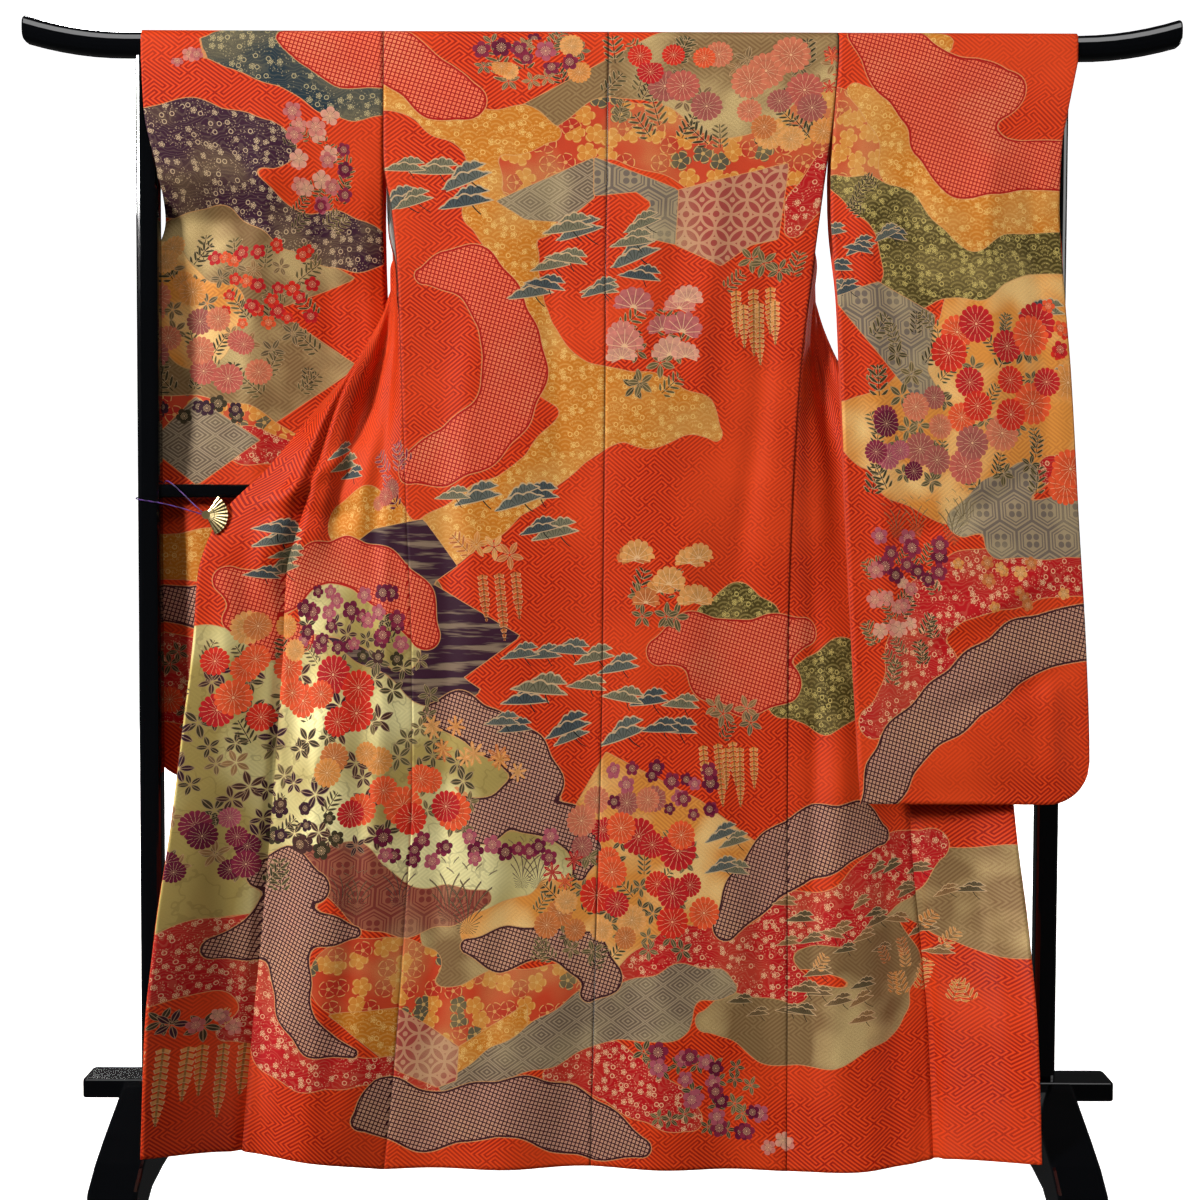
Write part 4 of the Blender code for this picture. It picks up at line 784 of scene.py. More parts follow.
CLUSTERS = """cloth kind x y wide high count least most tint
B leaf 260 760 110 90 40 12 19 dark
B leaf 330 720 90 60 24 11 17 green
B leaf 190 820 50 60 22 12 18 bronze
B leaf 400 800 60 40 14 11 16 green
B leaf 630 900 70 60 26 10 16 green
B leaf 740 88 80 30 12 10 14 bronze
B leaf 320 640 50 24 8 9 13 dark
B leaf 742 714 24 10 4 12 17 bronze
B leaf 758 268 26 10 4 12 17 green
B leaf 176 1036 26 10 4 15 21 dark
B wisteria 166 1096 2 4 1 46 50 ochre
B wisteria 220 1098 2 4 1 40 44 ochre
B leaf 484 550 22 10 4 12 16 ochre
S leaf 970 420 80 70 26 10 16 green
S leaf 230 316 70 60 16 9 14 bronze
S leaf 230 690 100 40 12 11 16 green
B spray 700 96 100 44 22 11 16 green
B mum 716 86 70 30 11 12 19 dusty
B mum 768 118 50 26 5 12 18 ochre
B mum 680 70 60 16 4 10 14 red
B maple 808 72 22 32 8 7 10 red
B spray 540 58 40 18 7 12 17 green
B plum 520 56 46 16 8 7 11 mauve
B mum 540 60 40 16 4 9 13 ochre
B leaf 530 66 46 20 9 9 13 bronze
B pine 436 190 34 24 8 22 31 blue
B pine 592 250 46 26 16 22 31 blue
B pine 566 276 40 16 8 20 29 blue
B leaf 650 372 24 20 7 13 18 green
B spray 648 352 28 34 12 13 18 green
B daisy 648 326 36 34 14 15 21 pink
B wisteria 760 316 14 18 2 34 44 ochre
B spray 756 272 34 12 7 11 15 green
B plum 352 200 20 20 5 7 10 pink
B pine 506 514 44 24 11 22 31 blue
B pine 462 486 30 10 4 20 26 blue
B wisteria 486 596 14 14 2 36 46 ochre
B spray 478 552 34 12 7 11 15 ochre
B daisy 672 574 40 24 13 15 21 ochre
B leaf 660 606 20 14 5 13 18 green
B spray 658 600 24 22 8 13 18 green
B pine 566 668 62 30 20 22 34 blue
B pine 628 716 66 22 17 22 34 blue
B pine 520 726 30 12 6 20 29 blue
B wisteria 742 766 12 16 2 34 42 ochre
B spray 720 720 28 10 6 11 15 green
B pine 300 466 24 18 6 20 26 blue
B pine 236 552 26 24 7 20 29 blue
B spray 372 476 18 24 5 12 16 mauve
B mum 366 500 14 14 3 8 11 dusty
B spray 320 640 60 26 14 12 17 green
B plum 326 622 58 30 30 7 11 mauve
B plum 360 640 24 20 8 7 10 dark
B grass 178 720 40 20 6 18 28 dark
B spray 250 700 110 50 34 12 18 green
B mum 300 692 50 30 11 15 22 red
B mum 226 690 48 30 9 14 21 red
B mum 246 640 40 14 4 12 18 ochre
B pine 260 650 60 16 8 20 29 blue
B wisteria 184 776 22 30 5 34 52 red
B wisteria 200 740 30 10 2 30 40 mauve
B spray 176 728 30 12 6 12 16 ochre
B spray 300 790 80 40 30 12 18 green
B spray 210 850 60 34 18 13 19 green
B mum 190 850 36 28 9 11 16 mauve
B mum 388 800 56 24 12 14 21 red
B mum 330 760 40 20 5 12 18 ochre
B maple 440 744 26 20 8 10 15 ochre
B maple 486 764 24 10 5 9 13 ochre
B plum 300 830 50 24 12 7 11 dark
B grass 400 872 70 20 12 24 40 dark
B grass 300 860 60 16 8 20 34 dark
B grass 500 868 40 14 7 24 36 dark
B plum 420 850 56 14 14 8 11 mauve
B plum 510 850 40 14 9 8 11 mauve
B spray 612 900 74 60 40 11 16 green
B mum 640 866 50 40 14 13 22 red
B mum 622 822 44 26 8 12 18 dusty
B plum 668 790 56 24 32 7 11 mauve
B mum 590 916 50 24 7 12 18 ochre
B pine 712 854 44 28 14 20 29 blue
B pine 650 936 50 20 8 18 24 blue
B mum 700 900 34 22 5 12 18 red
B maple 572 880 24 22 5 9 12 red
B grass 620 950 60 14 8 18 26 green
B pine 880 938 100 40 13 13 19 bronze
B pine 960 896 60 30 10 13 19 bronze
B pine 820 1000 70 20 10 13 19 bronze
B spray 900 960 90 40 12 10 14 ochre
B plum 690 1064 30 12 9 8 12 mauve
B plum 716 1090 24 20 12 8 11 mauve
B plum 752 1122 26 14 8 8 11 mauve
B leaf 664 1062 14 12 4 10 14 green
B leaf 720 1100 50 34 16 9 13 green
B plum 796 1148 14 8 3 8 10 pink
B spray 190 1044 40 10 5 11 15 ochre
B plum 210 1040 20 10 4 7 10 pink
S plum 316 152 20 40 16 8 11 pink
S plum 326 176 22 30 8 7 10 mauve
S spray 322 180 26 46 14 10 14 green
S plum 200 66 12 8 3 6 9 pink
S spray 230 316 80 70 36 11 17 green
S mum 214 330 60 50 12 11 17 dusty
S plum 264 282 50 40 26 6 9 red
S wisteria 250 300 50 30 5 26 38 mauve
S mum 180 270 30 30 4 10 15 ochre
S grass 290 352 30 14 6 18 26 dark
S pine 200 300 50 40 8 18 24 blue
S plum 200 410 40 8 8 7 10 dark
S mum 230 690 120 50 16 12 18 red
S spray 960 400 90 80 44 11 17 green
S mum 1010 372 54 50 14 14 23 red
S mum 964 430 50 36 8 12 19 dusty
S mum 912 440 40 34 6 10 15 mauve
S pine 1000 330 70 24 12 20 29 blue
S pine 1046 400 30 40 7 18 26 blue
S plum 1060 330 26 24 8 7 10 red
S grass 930 500 40 14 6 20 28 green
S mum 1066 380 18 30 3 14 20 ochre
S mum 1070 476 16 16 2 16 22 red
S plum 906 556 34 22 18 8 12 mauve
S plum 884 588 20 40 12 7 11 pink
S spray 892 610 34 62 20 10 14 green
S plum 1010 582 60 22 12 6 8 ochre
S spray 872 206 14 26 4 9 12 green
S pine 884 240 22 14 4 18 21 blue
S pine 852 262 14 30 4 18 19 blue"""
LAYERS, LEAF_LAYERS = 4, 2      # the lowest layers are for leaves and trees, the others for flowers
SWINGS = {"pine": 0.32, "daisy": 0.30, "wisteria": 0.12, "grass": 0.12, "spray": 0.9}
TRIES = 40
MOTIF_ROOM = 2
SEED = 11
Motif = namedtuple("Motif", "cloth kind x y radius turn colour")


def clear_of(cloth, x, y, radius, flat, other):
    """Whether a new motif lies clear of another one, or on another cloth."""
    down = (y - other.y) * min(flat, FLATNESS.get(other.kind, 1.0))
    return other.cloth != cloth or math.hypot(x - other.x, down) > radius + other.radius + MOTIF_ROOM


def make_motifs():
    """Places every motif on the lowest layer where it overlaps no other; a later layer lies on top."""
    draw = random.Random(SEED)
    layers = [[] for _ in range(LAYERS)]
    for cloth, kind, *numbers, tint in rows_of(CLUSTERS):
        cx, cy, wide, high, count, least, most = (float(word) for word in numbers)
        order = layers[LEAF_LAYERS:] if kind in FLOWERS else layers[:LEAF_LAYERS]
        swing = SWINGS.get(kind, math.pi)
        flat = FLATNESS.get(kind, 1.0)
        for _ in range(int(count)):
            for _ in range(TRIES):
                radius = draw.uniform(least, most)
                x = cx + draw.uniform(-wide, wide)
                y = cy + draw.uniform(-high, high)
                turn = draw.uniform(-swing, swing)
                colour = TINTS[tint][draw.randrange(3)]
                free = [layer for layer in order
                        if all(clear_of(cloth, x, y, radius, flat, other) for other in layer)]
                if free:
                    free[0].append(Motif(cloth, kind, x, y, radius, turn, colour))
                    break
    return layers


MOTIFS = make_motifs()


# Shells

INNER_FACE = (MIXED + 2) * 2       # codes of a face's silk: two for each filling, plain and with motifs
RED_FACE = INNER_FACE + 1
WELL_INSIDE = 1.2
MOTIF_REACH = 4.0
NO_MOTIF = 9.0


def shell_faces(rows, columns, outward):
    """Faces of a closed shell: its outer side, its inner side and its rim."""
    count = rows * columns
    index = np.arange(count).reshape(rows, columns)
    outer = np.stack([index[:-1, :-1], index[1:, :-1], index[1:, 1:], index[:-1, 1:]], axis=-1).reshape(-1, 4)
    rim = np.concatenate([index[0, :-1], index[:-1, -1], index[-1, :0:-1], index[:0:-1, 0]])
    after = np.roll(rim, -1)
    edge = np.stack([rim, after, after + count, rim + count], axis=-1)
    if outward < 0:
        outer, edge = outer[:, ::-1], edge[:, ::-1]
    return outer, outer[:, ::-1] + count, edge


def store(mesh, name, kind, domain, values):
    field = "color" if kind == "FLOAT_COLOR" else "vector"
    mesh.attributes.new(name, kind, domain).data.foreach_set(field, values.ravel())


def lay_motifs(mesh, cloth, corners, faces):
    """Gives each face its motifs, a layer at a time, and says which of the outer faces have one."""
    figured = np.zeros(len(corners), bool)
    centre = corners.mean(axis=1)
    for level, layer in enumerate(MOTIFS):
        local = np.full((faces, 4, 3), NO_MOTIF, np.float32)
        local[:, :, 2] = 0.0
        tints = np.zeros((faces, 4, 4), np.float32)
        for motif in layer:
            if motif.cloth != cloth:
                continue
            flat_y = (centre[:, 1] - motif.y) * FLATNESS.get(motif.kind, 1.0)
            near = np.nonzero(np.hypot(centre[:, 0] - motif.x, flat_y) < motif.radius + MOTIF_REACH)[0]
            offset = (corners[near] - (motif.x, motif.y)) / motif.radius
            c, s = math.cos(motif.turn), math.sin(motif.turn)
            local[near, :, 0] = offset[..., 0] * c - offset[..., 1] * s
            local[near, :, 1] = -(offset[..., 0] * s + offset[..., 1] * c)
            local[near, :, 2] = KINDS.index(motif.kind)
            figured[near] = True
            tints[near] = (*motif.colour, 1.0)
        store(mesh, f"motif{level}", "FLOAT_VECTOR", "CORNER", local)
        store(mesh, f"tint{level}", "FLOAT_COLOR", "CORNER", tints)
    return figured


def shell(name, grid, plan, thickness, outward, cloth, inner, red=None):
    """A closed thin shell on a grid, with the silk on its outer face and a plain cloth inside.

    Each face of the outer side gets a silk that draws only what lies on it. red is a test on layout x and
    y for the places where the inner face is vermilion.
    """
    normal = grid_normals(grid) * outward
    both = np.concatenate([(grid + normal * thickness / 2).reshape(-1, 3),
                           (grid - normal * thickness / 2).reshape(-1, 3)])
    quads, under, edge = shell_faces(*grid.shape[:2], outward)
    faces = np.concatenate([quads, under, edge])
    mesh = bpy.data.meshes.new(name)
    mesh.from_pydata(both.tolist(), [], faces.tolist())
    mesh.shade_smooth()
    obj = bpy.data.objects.new(name, mesh)
    bpy.context.collection.objects.link(obj)

    flat = plan.reshape(-1, 2)
    count = len(flat)
    cut = np.zeros((count * 2, 3), np.float32)
    cut[:, :2] = np.concatenate([flat, flat]) * PX
    cut[:, 2] = cloth == "S"
    store(mesh, "cut", "FLOAT_VECTOR", "POINT", cut)
    fields = filling_distances(cloth, flat[:, 0], flat[:, 1])
    for i in range(0, len(FILLS), 3):
        packed = np.full((count * 2, 3), FAR * PX, np.float32)
        for k, filling in enumerate(FILLS[i:i + 3]):
            packed[:count, k] = fields[filling] * PX
        store(mesh, f"fill{i // 3}", "FLOAT_VECTOR", "POINT", packed)

    top = np.full(len(quads), -1)
    for i, filling in enumerate(FILLS):
        around = fields[filling][quads]
        inside = (around < -WELL_INSIDE).all(axis=1)
        top[inside] = i
        top[~inside & ~(around > WELL_INSIDE).all(axis=1)] = MIXED
    corners = flat[quads]
    codes = np.zeros(len(faces), int)
    codes[:len(quads)] = (top + 1) * 2 + lay_motifs(mesh, cloth, corners, len(faces))
    inner_codes = codes[len(quads):2 * len(quads)]
    inner_codes[:] = INNER_FACE
    if red:
        inner_codes[red(*corners.mean(axis=1).T)] = RED_FACE
    slot_of = np.zeros(RED_FACE + 1, np.int32)
    for slot, code in enumerate(np.unique(codes).tolist()):
        slot_of[code] = slot
        mesh.materials.append(inner if code == INNER_FACE else red_lining if code == RED_FACE
                              else silk(code // 2 - 1, code % 2))
    mesh.polygons.foreach_set("material_index", slot_of[codes])
    return obj


# Shaders written as formulas

def operation(name):
    """A method that is one operation of the Math node."""
    return lambda self, *others: self.op(name, *others)


class Value:
    """A number in a shader tree."""

    def __init__(self, tree, socket):
        self.tree = tree
        self.socket = socket

    def op(self, name, *others):
        node = self.tree.nodes.new("ShaderNodeMath")
        node.operation = name
        for item, socket in zip((self, *others), node.inputs):
            feed(self.tree, item, socket)
        return Value(self.tree, node.outputs[0])

    def __rsub__(self, other):
        return (self * -1.0) + other

    __add__ = __radd__ = operation("ADD")
    __sub__ = operation("SUBTRACT")
    __mul__ = __rmul__ = operation("MULTIPLY")
    __lt__, __gt__ = operation("LESS_THAN"), operation("GREATER_THAN")
    __abs__, fract = operation("ABSOLUTE"), operation("FRACT")
    sin, cos = operation("SINE"), operation("COSINE")
    max, min = operation("MAXIMUM"), operation("MINIMUM")
    power = operation("POWER")

    def held(self):
        """The number held between 0 and 1."""
        return self.max(0.0).min(1.0)


def feed(tree, item, socket):
    """Gives a socket a number, a colour, a formula's value or another node's output."""
    if isinstance(item, Value):
        item = item.socket
    if isinstance(item, bpy.types.NodeSocket):
        tree.links.new(item, socket)
    else:
        socket.default_value = (*item, 1.0) if isinstance(item, tuple) else item


class Nodes:
    """Writes formulas into a shader tree."""

    def __init__(self, tree):
        self.tree = tree

    def add(self, kind, **inputs):
        """A new node, with numbers, values or outputs on its named inputs."""
        node = self.tree.nodes.new("ShaderNode" + kind)
        for name, item in inputs.items():
            feed(self.tree, item, node.inputs[name])
        return node

    def constant(self, rgb):
        node = self.add("RGB")
        node.outputs[0].default_value = (*rgb, 1.0)
        return node.outputs[0]

    def attribute(self, name):
        node = self.add("Attribute")
        node.attribute_name = name
        return node

    def split(self, socket):
        node = self.add("SeparateXYZ", Vector=socket)
        return [Value(self.tree, out) for out in node.outputs]

    def noise(self, vector, scale, detail=2.0, roughness=0.5):
        node = self.add("TexNoise", Scale=scale, Detail=detail, Roughness=roughness, Vector=vector)
        return Value(self.tree, node.outputs[0])

    def cells(self, vector, scale, jitter):
        """Cell-local x and y and the random colour of a scatter of cells."""
        node = self.add("TexVoronoi", Scale=scale, Randomness=jitter, Vector=vector)
        node.voronoi_dimensions = "2D"
        x, y, _ = self.split(vector)
        px, py, _ = self.split(node.outputs["Position"])
        return (x - px) * scale, (y - py) * scale, node.outputs["Color"]

    def mix(self, low, high, mask):
        """Colour socket between two colours; a colour is a socket or a tuple."""
        node = self.add("Mix")
        node.data_type = "RGBA"
        for slot, item in ((6, low), (7, high), (0, mask)):
            feed(self.tree, item, node.inputs[slot])
        return node.outputs[2]

    def scaled(self, colour, factor):
        node = self.add("VectorMath")
        node.operation = "SCALE"
        feed(self.tree, colour, node.inputs[0])
        feed(self.tree, factor, node.inputs["Scale"])
        return node.outputs[0]

    def bump(self, shader, height, strength, distance):
        node = self.add("Bump", Strength=strength, Distance=distance, Height=height)
        feed(self.tree, node.outputs[0], shader.inputs["Normal"])

    def shared(self, name, make, *given):
        """The results of a group that all materials share, made on its first use."""
        group = bpy.data.node_groups.get(name)
        if group is None:
            group = bpy.data.node_groups.new(name, "ShaderNodeTree")
            for i in range(len(given)):
                group.interface.new_socket(f"given{i}", in_out="INPUT", socket_type="NodeSocketFloat")
            start = group.nodes.new("NodeGroupInput")
            end = group.nodes.new("NodeGroupOutput")
            inputs = [Value(group, start.outputs[i]) for i in range(len(given))]
            for i, result in enumerate(make(Nodes(group), *inputs)):
                number = isinstance(result, Value)
                kind = "NodeSocketFloat" if number else "NodeSocketColor"
                group.interface.new_socket(f"result{i}", in_out="OUTPUT", socket_type=kind)
                group.links.new(result.socket if number else result, end.inputs[i])
        node = self.add("Group")
        node.node_tree = group
        for i, value in enumerate(given):
            self.tree.links.new(value.socket, node.inputs[i])
        return [Value(self.tree, out) if out.type == "VALUE" else out for out in node.outputs]

    def cut(self):
        return self.attribute("cut").outputs["Vector"]

    def place(self):
        return self.add("TexCoord").outputs["Object"]


def polar(x, y):
    return (x * x + y * y).power(0.5), y.op("ARCTAN2", x)


def largest(values):
    return reduce(Value.max, values)


FRET_THREAD = 0.0076
FRET_WIDE, FRET_HIGH = 0.788, 0.616


def sayagata(u, v):
    """Key fret of hooked crosses on a slanting grid, its bars woven as parallel lines; 1 on the lines."""
    across, along = u * (0.5 / (FRET_WIDE * FRET_THREAD)), v * (0.5 / (FRET_HIGH * FRET_THREAD))
    slants = across + along, across - along
    x, y = (3.0 - abs(((slant + 3.0) * (1 / 12)).fract() * 12.0 - 6.0) for slant in slants)
    ax, ay = abs(x), abs(y)
    arms = ax.max(ay - 2.0).min(ay.max(ax - 2.0))
    level = abs(y - 2.0).max(x * -1.0).min(abs(y + 2.0).max(x))
    upright = abs(x - 2.0).max(y).min(abs(x + 2.0).max(y * -1.0))
    return abs((arms.min(level).min(upright) * 1.5 + 0.5).fract() - 0.5) < 0.25


KANOKO_PITCH = 0.0059
KANOKO_SLANT = 0.30


def kanoko(u, v):
    """Tied dots in slanting rows: 1 in the small square of each tie."""
    a = abs((u * (1 / KANOKO_PITCH) + v * (KANOKO_SLANT / KANOKO_PITCH)).fract() - 0.5)
    b = abs((v * (1 / KANOKO_PITCH) - u * (KANOKO_SLANT / KANOKO_PITCH)).fract() - 0.5)
    return (a.max(b) < 0.35) * (1.0 - (a.max(b) < 0.08) * 0.5)


def nested_diamonds(u, v):
    """Diamonds inside each other: 1 on the lines."""
    a = (u * 19.0 + v * 27.0).fract() - 0.5
    b = (u * 19.0 - v * 27.0).fract() - 0.5
    return (abs(a).max(abs(b)) * 7.0).fract() < 0.42


def rings_of_seven(u, v):
    """Overlapping circles with a small flower in each: 1 on the lines."""
    x, y = abs((u * 24.0).fract() - 0.5), abs((v * 24.0).fract() - 0.5)
    centre = (x * x + y * y).power(0.5)
    corner = ((x - 0.5) * (x - 0.5) + (y - 0.5) * (y - 0.5)).power(0.5)
    leaf = (abs(centre - 0.5) < 0.045).max(abs(corner - 0.5) < 0.045)
    return leaf.max(abs(centre - 0.16) < 0.05).max(corner < 0.09)


def hexagons(u, v):
    """Tortoise-shell hexagons in three rings with a four-petalled flower: 1 on the lines."""
    scale = 20.0
    x, y = u * scale, v * (scale / 1.732)
    ax, ay = x.fract() - 0.5, (y.fract() - 0.5) * 1.732
    bx, by = (x + 0.5).fract() - 0.5, ((y + 0.5).fract() - 0.5) * 1.732
    near_a = abs(ax).max(abs(ax) * 0.5 + abs(ay) * 0.866)
    near_b = abs(bx).max(abs(bx) * 0.5 + abs(by) * 0.866)
    near = near_a.min(near_b)
    second = near_b < near_a
    px, py = ax + (bx - ax) * second, ay + (by - ay) * second
    petal = ((abs(px) - 0.11) * (abs(px) - 0.11) + (abs(py) - 0.11) * (abs(py) - 0.11)) < 0.008
    return (near > 0.46).max(abs(near - 0.38) < 0.022).max(abs(near - 0.30) < 0.018).max(petal)


def waves(u, v):
    """Blue-sea waves: arcs in rows, each row in front of the one above: 1 on the arcs."""
    width, row = 0.036, 0.009
    best = None
    for k in range(3):
        level = (v * (1 / row)).op("FLOOR") + float(k)
        shift = (level * 0.5).fract()
        x = ((u * (1 / width) + shift).fract() - 0.5) * width
        y = level * row - v + row * 0.2
        radius = (x * x + y * y).power(0.5)
        inside = radius < width * 0.5
        arc = ((radius * (1 / 0.0062)).fract() < 0.42) * inside
        best = arc if best is None else best * (1.0 - inside) + arc
    return best


def blossom_mask(x, y, size):
    """Five petals round a cell's middle."""
    r, turn = polar(x, y)
    edge = abs((turn * 2.5).cos()).power(0.6) * (size * 0.42) + size * 0.58
    return r < edge, r, turn


# Each shape gives its mask, its pale lines and its dark lines, or None where it has no dark ones

def mum_shape(x, y, r, turn):
    """Chrysanthemum from above: two rings of petals, split by thin pale lines."""
    petals = abs((turn * 8.0).sin())
    inner = abs((turn * 6.0 + 0.4).sin())
    edge = petals.power(0.5) * 0.17 + 0.79
    outside = r > 0.48 + inner * 0.06
    lines = outside * (petals * r < 0.085) + (1.0 - outside) * (inner * r < 0.06) * (r > 0.12)
    return r < edge, lines.max(r < 0.07), (abs(r - 0.50 - inner * 0.06) < 0.018) * 0.6


def plum_shape(x, y, r, turn):
    """Five round petals with stamens."""
    petal = abs((turn * 2.5).cos())
    stamens = (abs((turn * 7.5).cos()) > 0.90) * (r < 0.44) * (r > 0.14)
    return r < petal.power(0.55) * 0.38 + 0.56, stamens.max(r < 0.09), (petal < 0.16) * (r > 0.2)


def maple_shape(x, y, r, turn):
    """Seven narrow lobes, each with a pale rib."""
    lobe = abs((turn * 3.5 + 0.2).cos()).power(1.8)
    return r < lobe * 0.74 + 0.22, (lobe > 0.99) * (r < 0.7), None


def pine_mound(x, y, base, wide, high):
    """A cushion of needles with a scalloped pale edge: its mask, rim and dark needles."""
    k = x * (1 / wide)
    room = 1.0 - k * k
    py = y - base
    top = room * high * (abs((k * 6.5).cos()) * 0.24 + 0.76)
    inside = (py < top) * (py > room * -0.05) * (room > 0.03)
    fan_x = ((k * 2.2 + 0.5).fract() - 0.5) * (wide / 2.2)
    _, fan = polar(fan_x, py + 0.10)
    rim = (top - py < 0.055).max(py < room * -0.05 + 0.035)
    return inside, rim * inside, (abs((fan * 8.0).cos()) < 0.40) * inside


def pine_shape(x, y, r, turn):
    """Two cushions of needles, one behind the other, over a thin bent branch."""
    slope = x * 0.10
    back, back_rim, back_needles = pine_mound(x - 0.20, y - slope, 0.10, 0.60, 0.34)
    front, front_rim, front_needles = pine_mound(x + 0.06, y - slope, -0.22, 0.94, 0.40)
    hidden = 1.0 - front
    branch = (abs(x - 0.10 - y * y * 0.9) < 0.025) * (y < -0.24) * (y > -0.75)
    return (front.max(back).max(branch), (front_rim + back_rim * hidden) * 0.8,
            (front_needles + back_needles * hidden).max(branch * 1.6))


def spray_shape(x, y, r, turn):
    """A stem with pairs of leaves that point up and out."""
    ax = abs(x)
    along = ((y - ax * 0.75) * (1 / 0.42) + 4.0).fract() * 0.42 - 0.21
    across = (ax - 0.32) * (1 / 0.31)
    leaf_r = across * across + along * along * (1 / 0.0145)
    leaf = (leaf_r < 1.0) * (abs(y) < 0.88)
    stem = (ax < 0.03) * (abs(y) < 0.92)
    return leaf.max(stem), (leaf_r > 0.66) * leaf * 0.7, (abs(along) < 0.02).max(stem)


def wisteria_shape(x, y, r, turn):
    """Three hanging strings of paired petals, the middle one longest."""
    column = (x * 2.2 + 0.5).op("FLOOR")
    px = abs(x * 2.2 - column)
    down = (0.85 - y) * (1.0 / 1.75) + abs(column) * 0.30
    half = ((1.0 - down) * 0.85 + 0.05).min(0.29)
    row = (y * 7.0 + px * 1.4 + 9.0).fract()
    hangs = (down < 1.0) * (down > abs(column) * 0.30) * (abs(column) < 1.5)
    inside = (px < half * (row * 0.35 + 0.75)) * (row > 0.30) * hangs
    stem = (px < 0.045) * hangs
    return inside.max(stem), ((row < 0.40).max(px > half * 0.86)) * inside * 0.8, stem


def daisy_shape(x, y, r, turn):
    """A wide flower seen from its side: petals fan out and droop from a low middle."""
    fan_r, angle = polar(x, y + 0.42)
    petal = abs((angle * 6.5).cos())
    inside = (fan_r < petal.power(0.5) * 0.18 + 0.84) * (y > abs(x) * -0.30 - 0.42)
    return inside, (petal * fan_r < 0.11).max(fan_r < 0.16), (abs(fan_r - 0.52 - petal * 0.08) < 0.035) * 0.6


def leaf_shape(x, y, r, turn):
    """Five broad pointed leaves from one stalk, each with a pale rib."""
    sector = math.tau / 5
    angle = ((turn * (1 / sector) + 0.5).fract() - 0.5) * sector
    along = (r * angle.cos() - 0.52) * (1 / 0.46)
    across = abs(r * angle.sin())
    room = 1.0 - along * along
    return across < room * 0.21, (across < 0.022).max(across > room * 0.21 - 0.035) * 0.55, None


def grass_shape(x, y, r, turn):
    """Blades that spread from a root and bend."""
    root_r, angle = polar(x, y + 0.95)
    bent = angle + root_r * root_r * 0.16 * (1.0 - (x > 0.0) * 2.0) * -1.0
    blade = abs((bent * 11.0).cos())
    reach = (angle * 23.0).sin() * 0.28 + 1.45
    inside = (blade < 0.42 - root_r * 0.18) * (root_r < reach) * (abs(x) < y * 0.35 + 0.62)
    return inside, (blade < 0.05) * 0.6, blade > 0.36


SHAPES = {"mum": mum_shape, "plum": plum_shape, "pine": pine_shape, "spray": spray_shape,
          "wisteria": wisteria_shape, "maple": maple_shape, "grass": grass_shape, "leaf": leaf_shape,
          "daisy": daisy_shape}
PALE_LINE = (0.80, 0.52, 0.27)


def motif_group(level):
    def make(nodes, grain):
        """Colour and mask of the motifs on one layer."""
        x, y, kind = nodes.split(nodes.attribute(f"motif{level}").outputs["Vector"])
        tint = nodes.attribute(f"tint{level}").outputs["Color"]
        r, turn = polar(x, y)
        masks, pales, darks = [], [], []
        for number, name in enumerate(KINDS):
            if not name or (name in FLOWERS) == (level < LEAF_LAYERS):
                continue
            shape, pale, dark = SHAPES[name](x, y, r, turn)
            here = shape * (abs(kind - float(number)) < 0.5)
            masks.append(here)
            pales.append(here * pale)
            if dark is not None:
                darks.append(here * dark)
        dark = largest(darks)
        colour = nodes.scaled(tint, r * 0.30 + 0.55 + grain * 0.5)
        colour = nodes.mix(colour, nodes.scaled(tint, dark * -0.55 + 1.0), dark)
        return [nodes.mix(colour, PALE_LINE, largest(pales) * 0.8), largest(masks)]
    return make


GROUND = (0.78, 0.066, 0.010)
GROUND_LINE = (0.37, 0.012, 0.003)
OUTLINE = (0.66, 0.33, 0.12)


def fret_group(nodes):
    u, v, _ = nodes.split(nodes.cut())
    # The fret fades in and out in broad patches: painted sheen, standing in for the way light on the woven fret
    # makes it come and go
    drift = nodes.noise(nodes.cut(), 5.0, 1.0)
    return [sayagata(u, v) * (drift * 2.8 - 0.5).max(0.30).min(1.0)]


def komon_group(nodes):
    """Sparse small flowers, rings and dots."""
    x, y, cell = nodes.cells(nodes.cut(), 74.0, 0.9)
    mask, r, _ = blossom_mask(x, y, 0.34)
    petal = mask * (1.0 - (abs(r - 0.20) < 0.03)) * (r > 0.05)
    some, other, _ = nodes.split(cell)
    ring = (abs(r - 0.22) < 0.045) * (some < 0.64) * (other > 0.5)
    flowers = petal * (some > 0.64) + ring
    dx, dy, _ = nodes.cells(nodes.cut(), 230.0, 1.0)
    dots = ((dx * dx + dy * dy) < 0.035) * (nodes.noise(nodes.cut(), 60.0, 1.0) > 0.5)
    return [flowers.max(dots * 0.6)]


def haze_group(nodes):
    """Sprinkled gold that thickens and thins, its bright grains also painted glints, and flowing lines."""
    cut = nodes.cut()
    u, v, _ = nodes.split(cut)
    thick = ((nodes.noise(cut, 9.0) - 0.47) * 5.5).held()
    # The grains are both sprinkled gold and painted glints: specks lightened where light would sparkle
    grains = nodes.noise(cut, 950.0, 1.0) * 1.7 - 0.15
    drift = nodes.noise(cut, 24.0) * 11.0
    return [(thick * grains).held(), (v * 150.0 + drift).fract() < 0.35]


REPEATS = {"diamonds": nested_diamonds, "shippo": rings_of_seven, "kikko": hexagons, "kikko_red": hexagons}


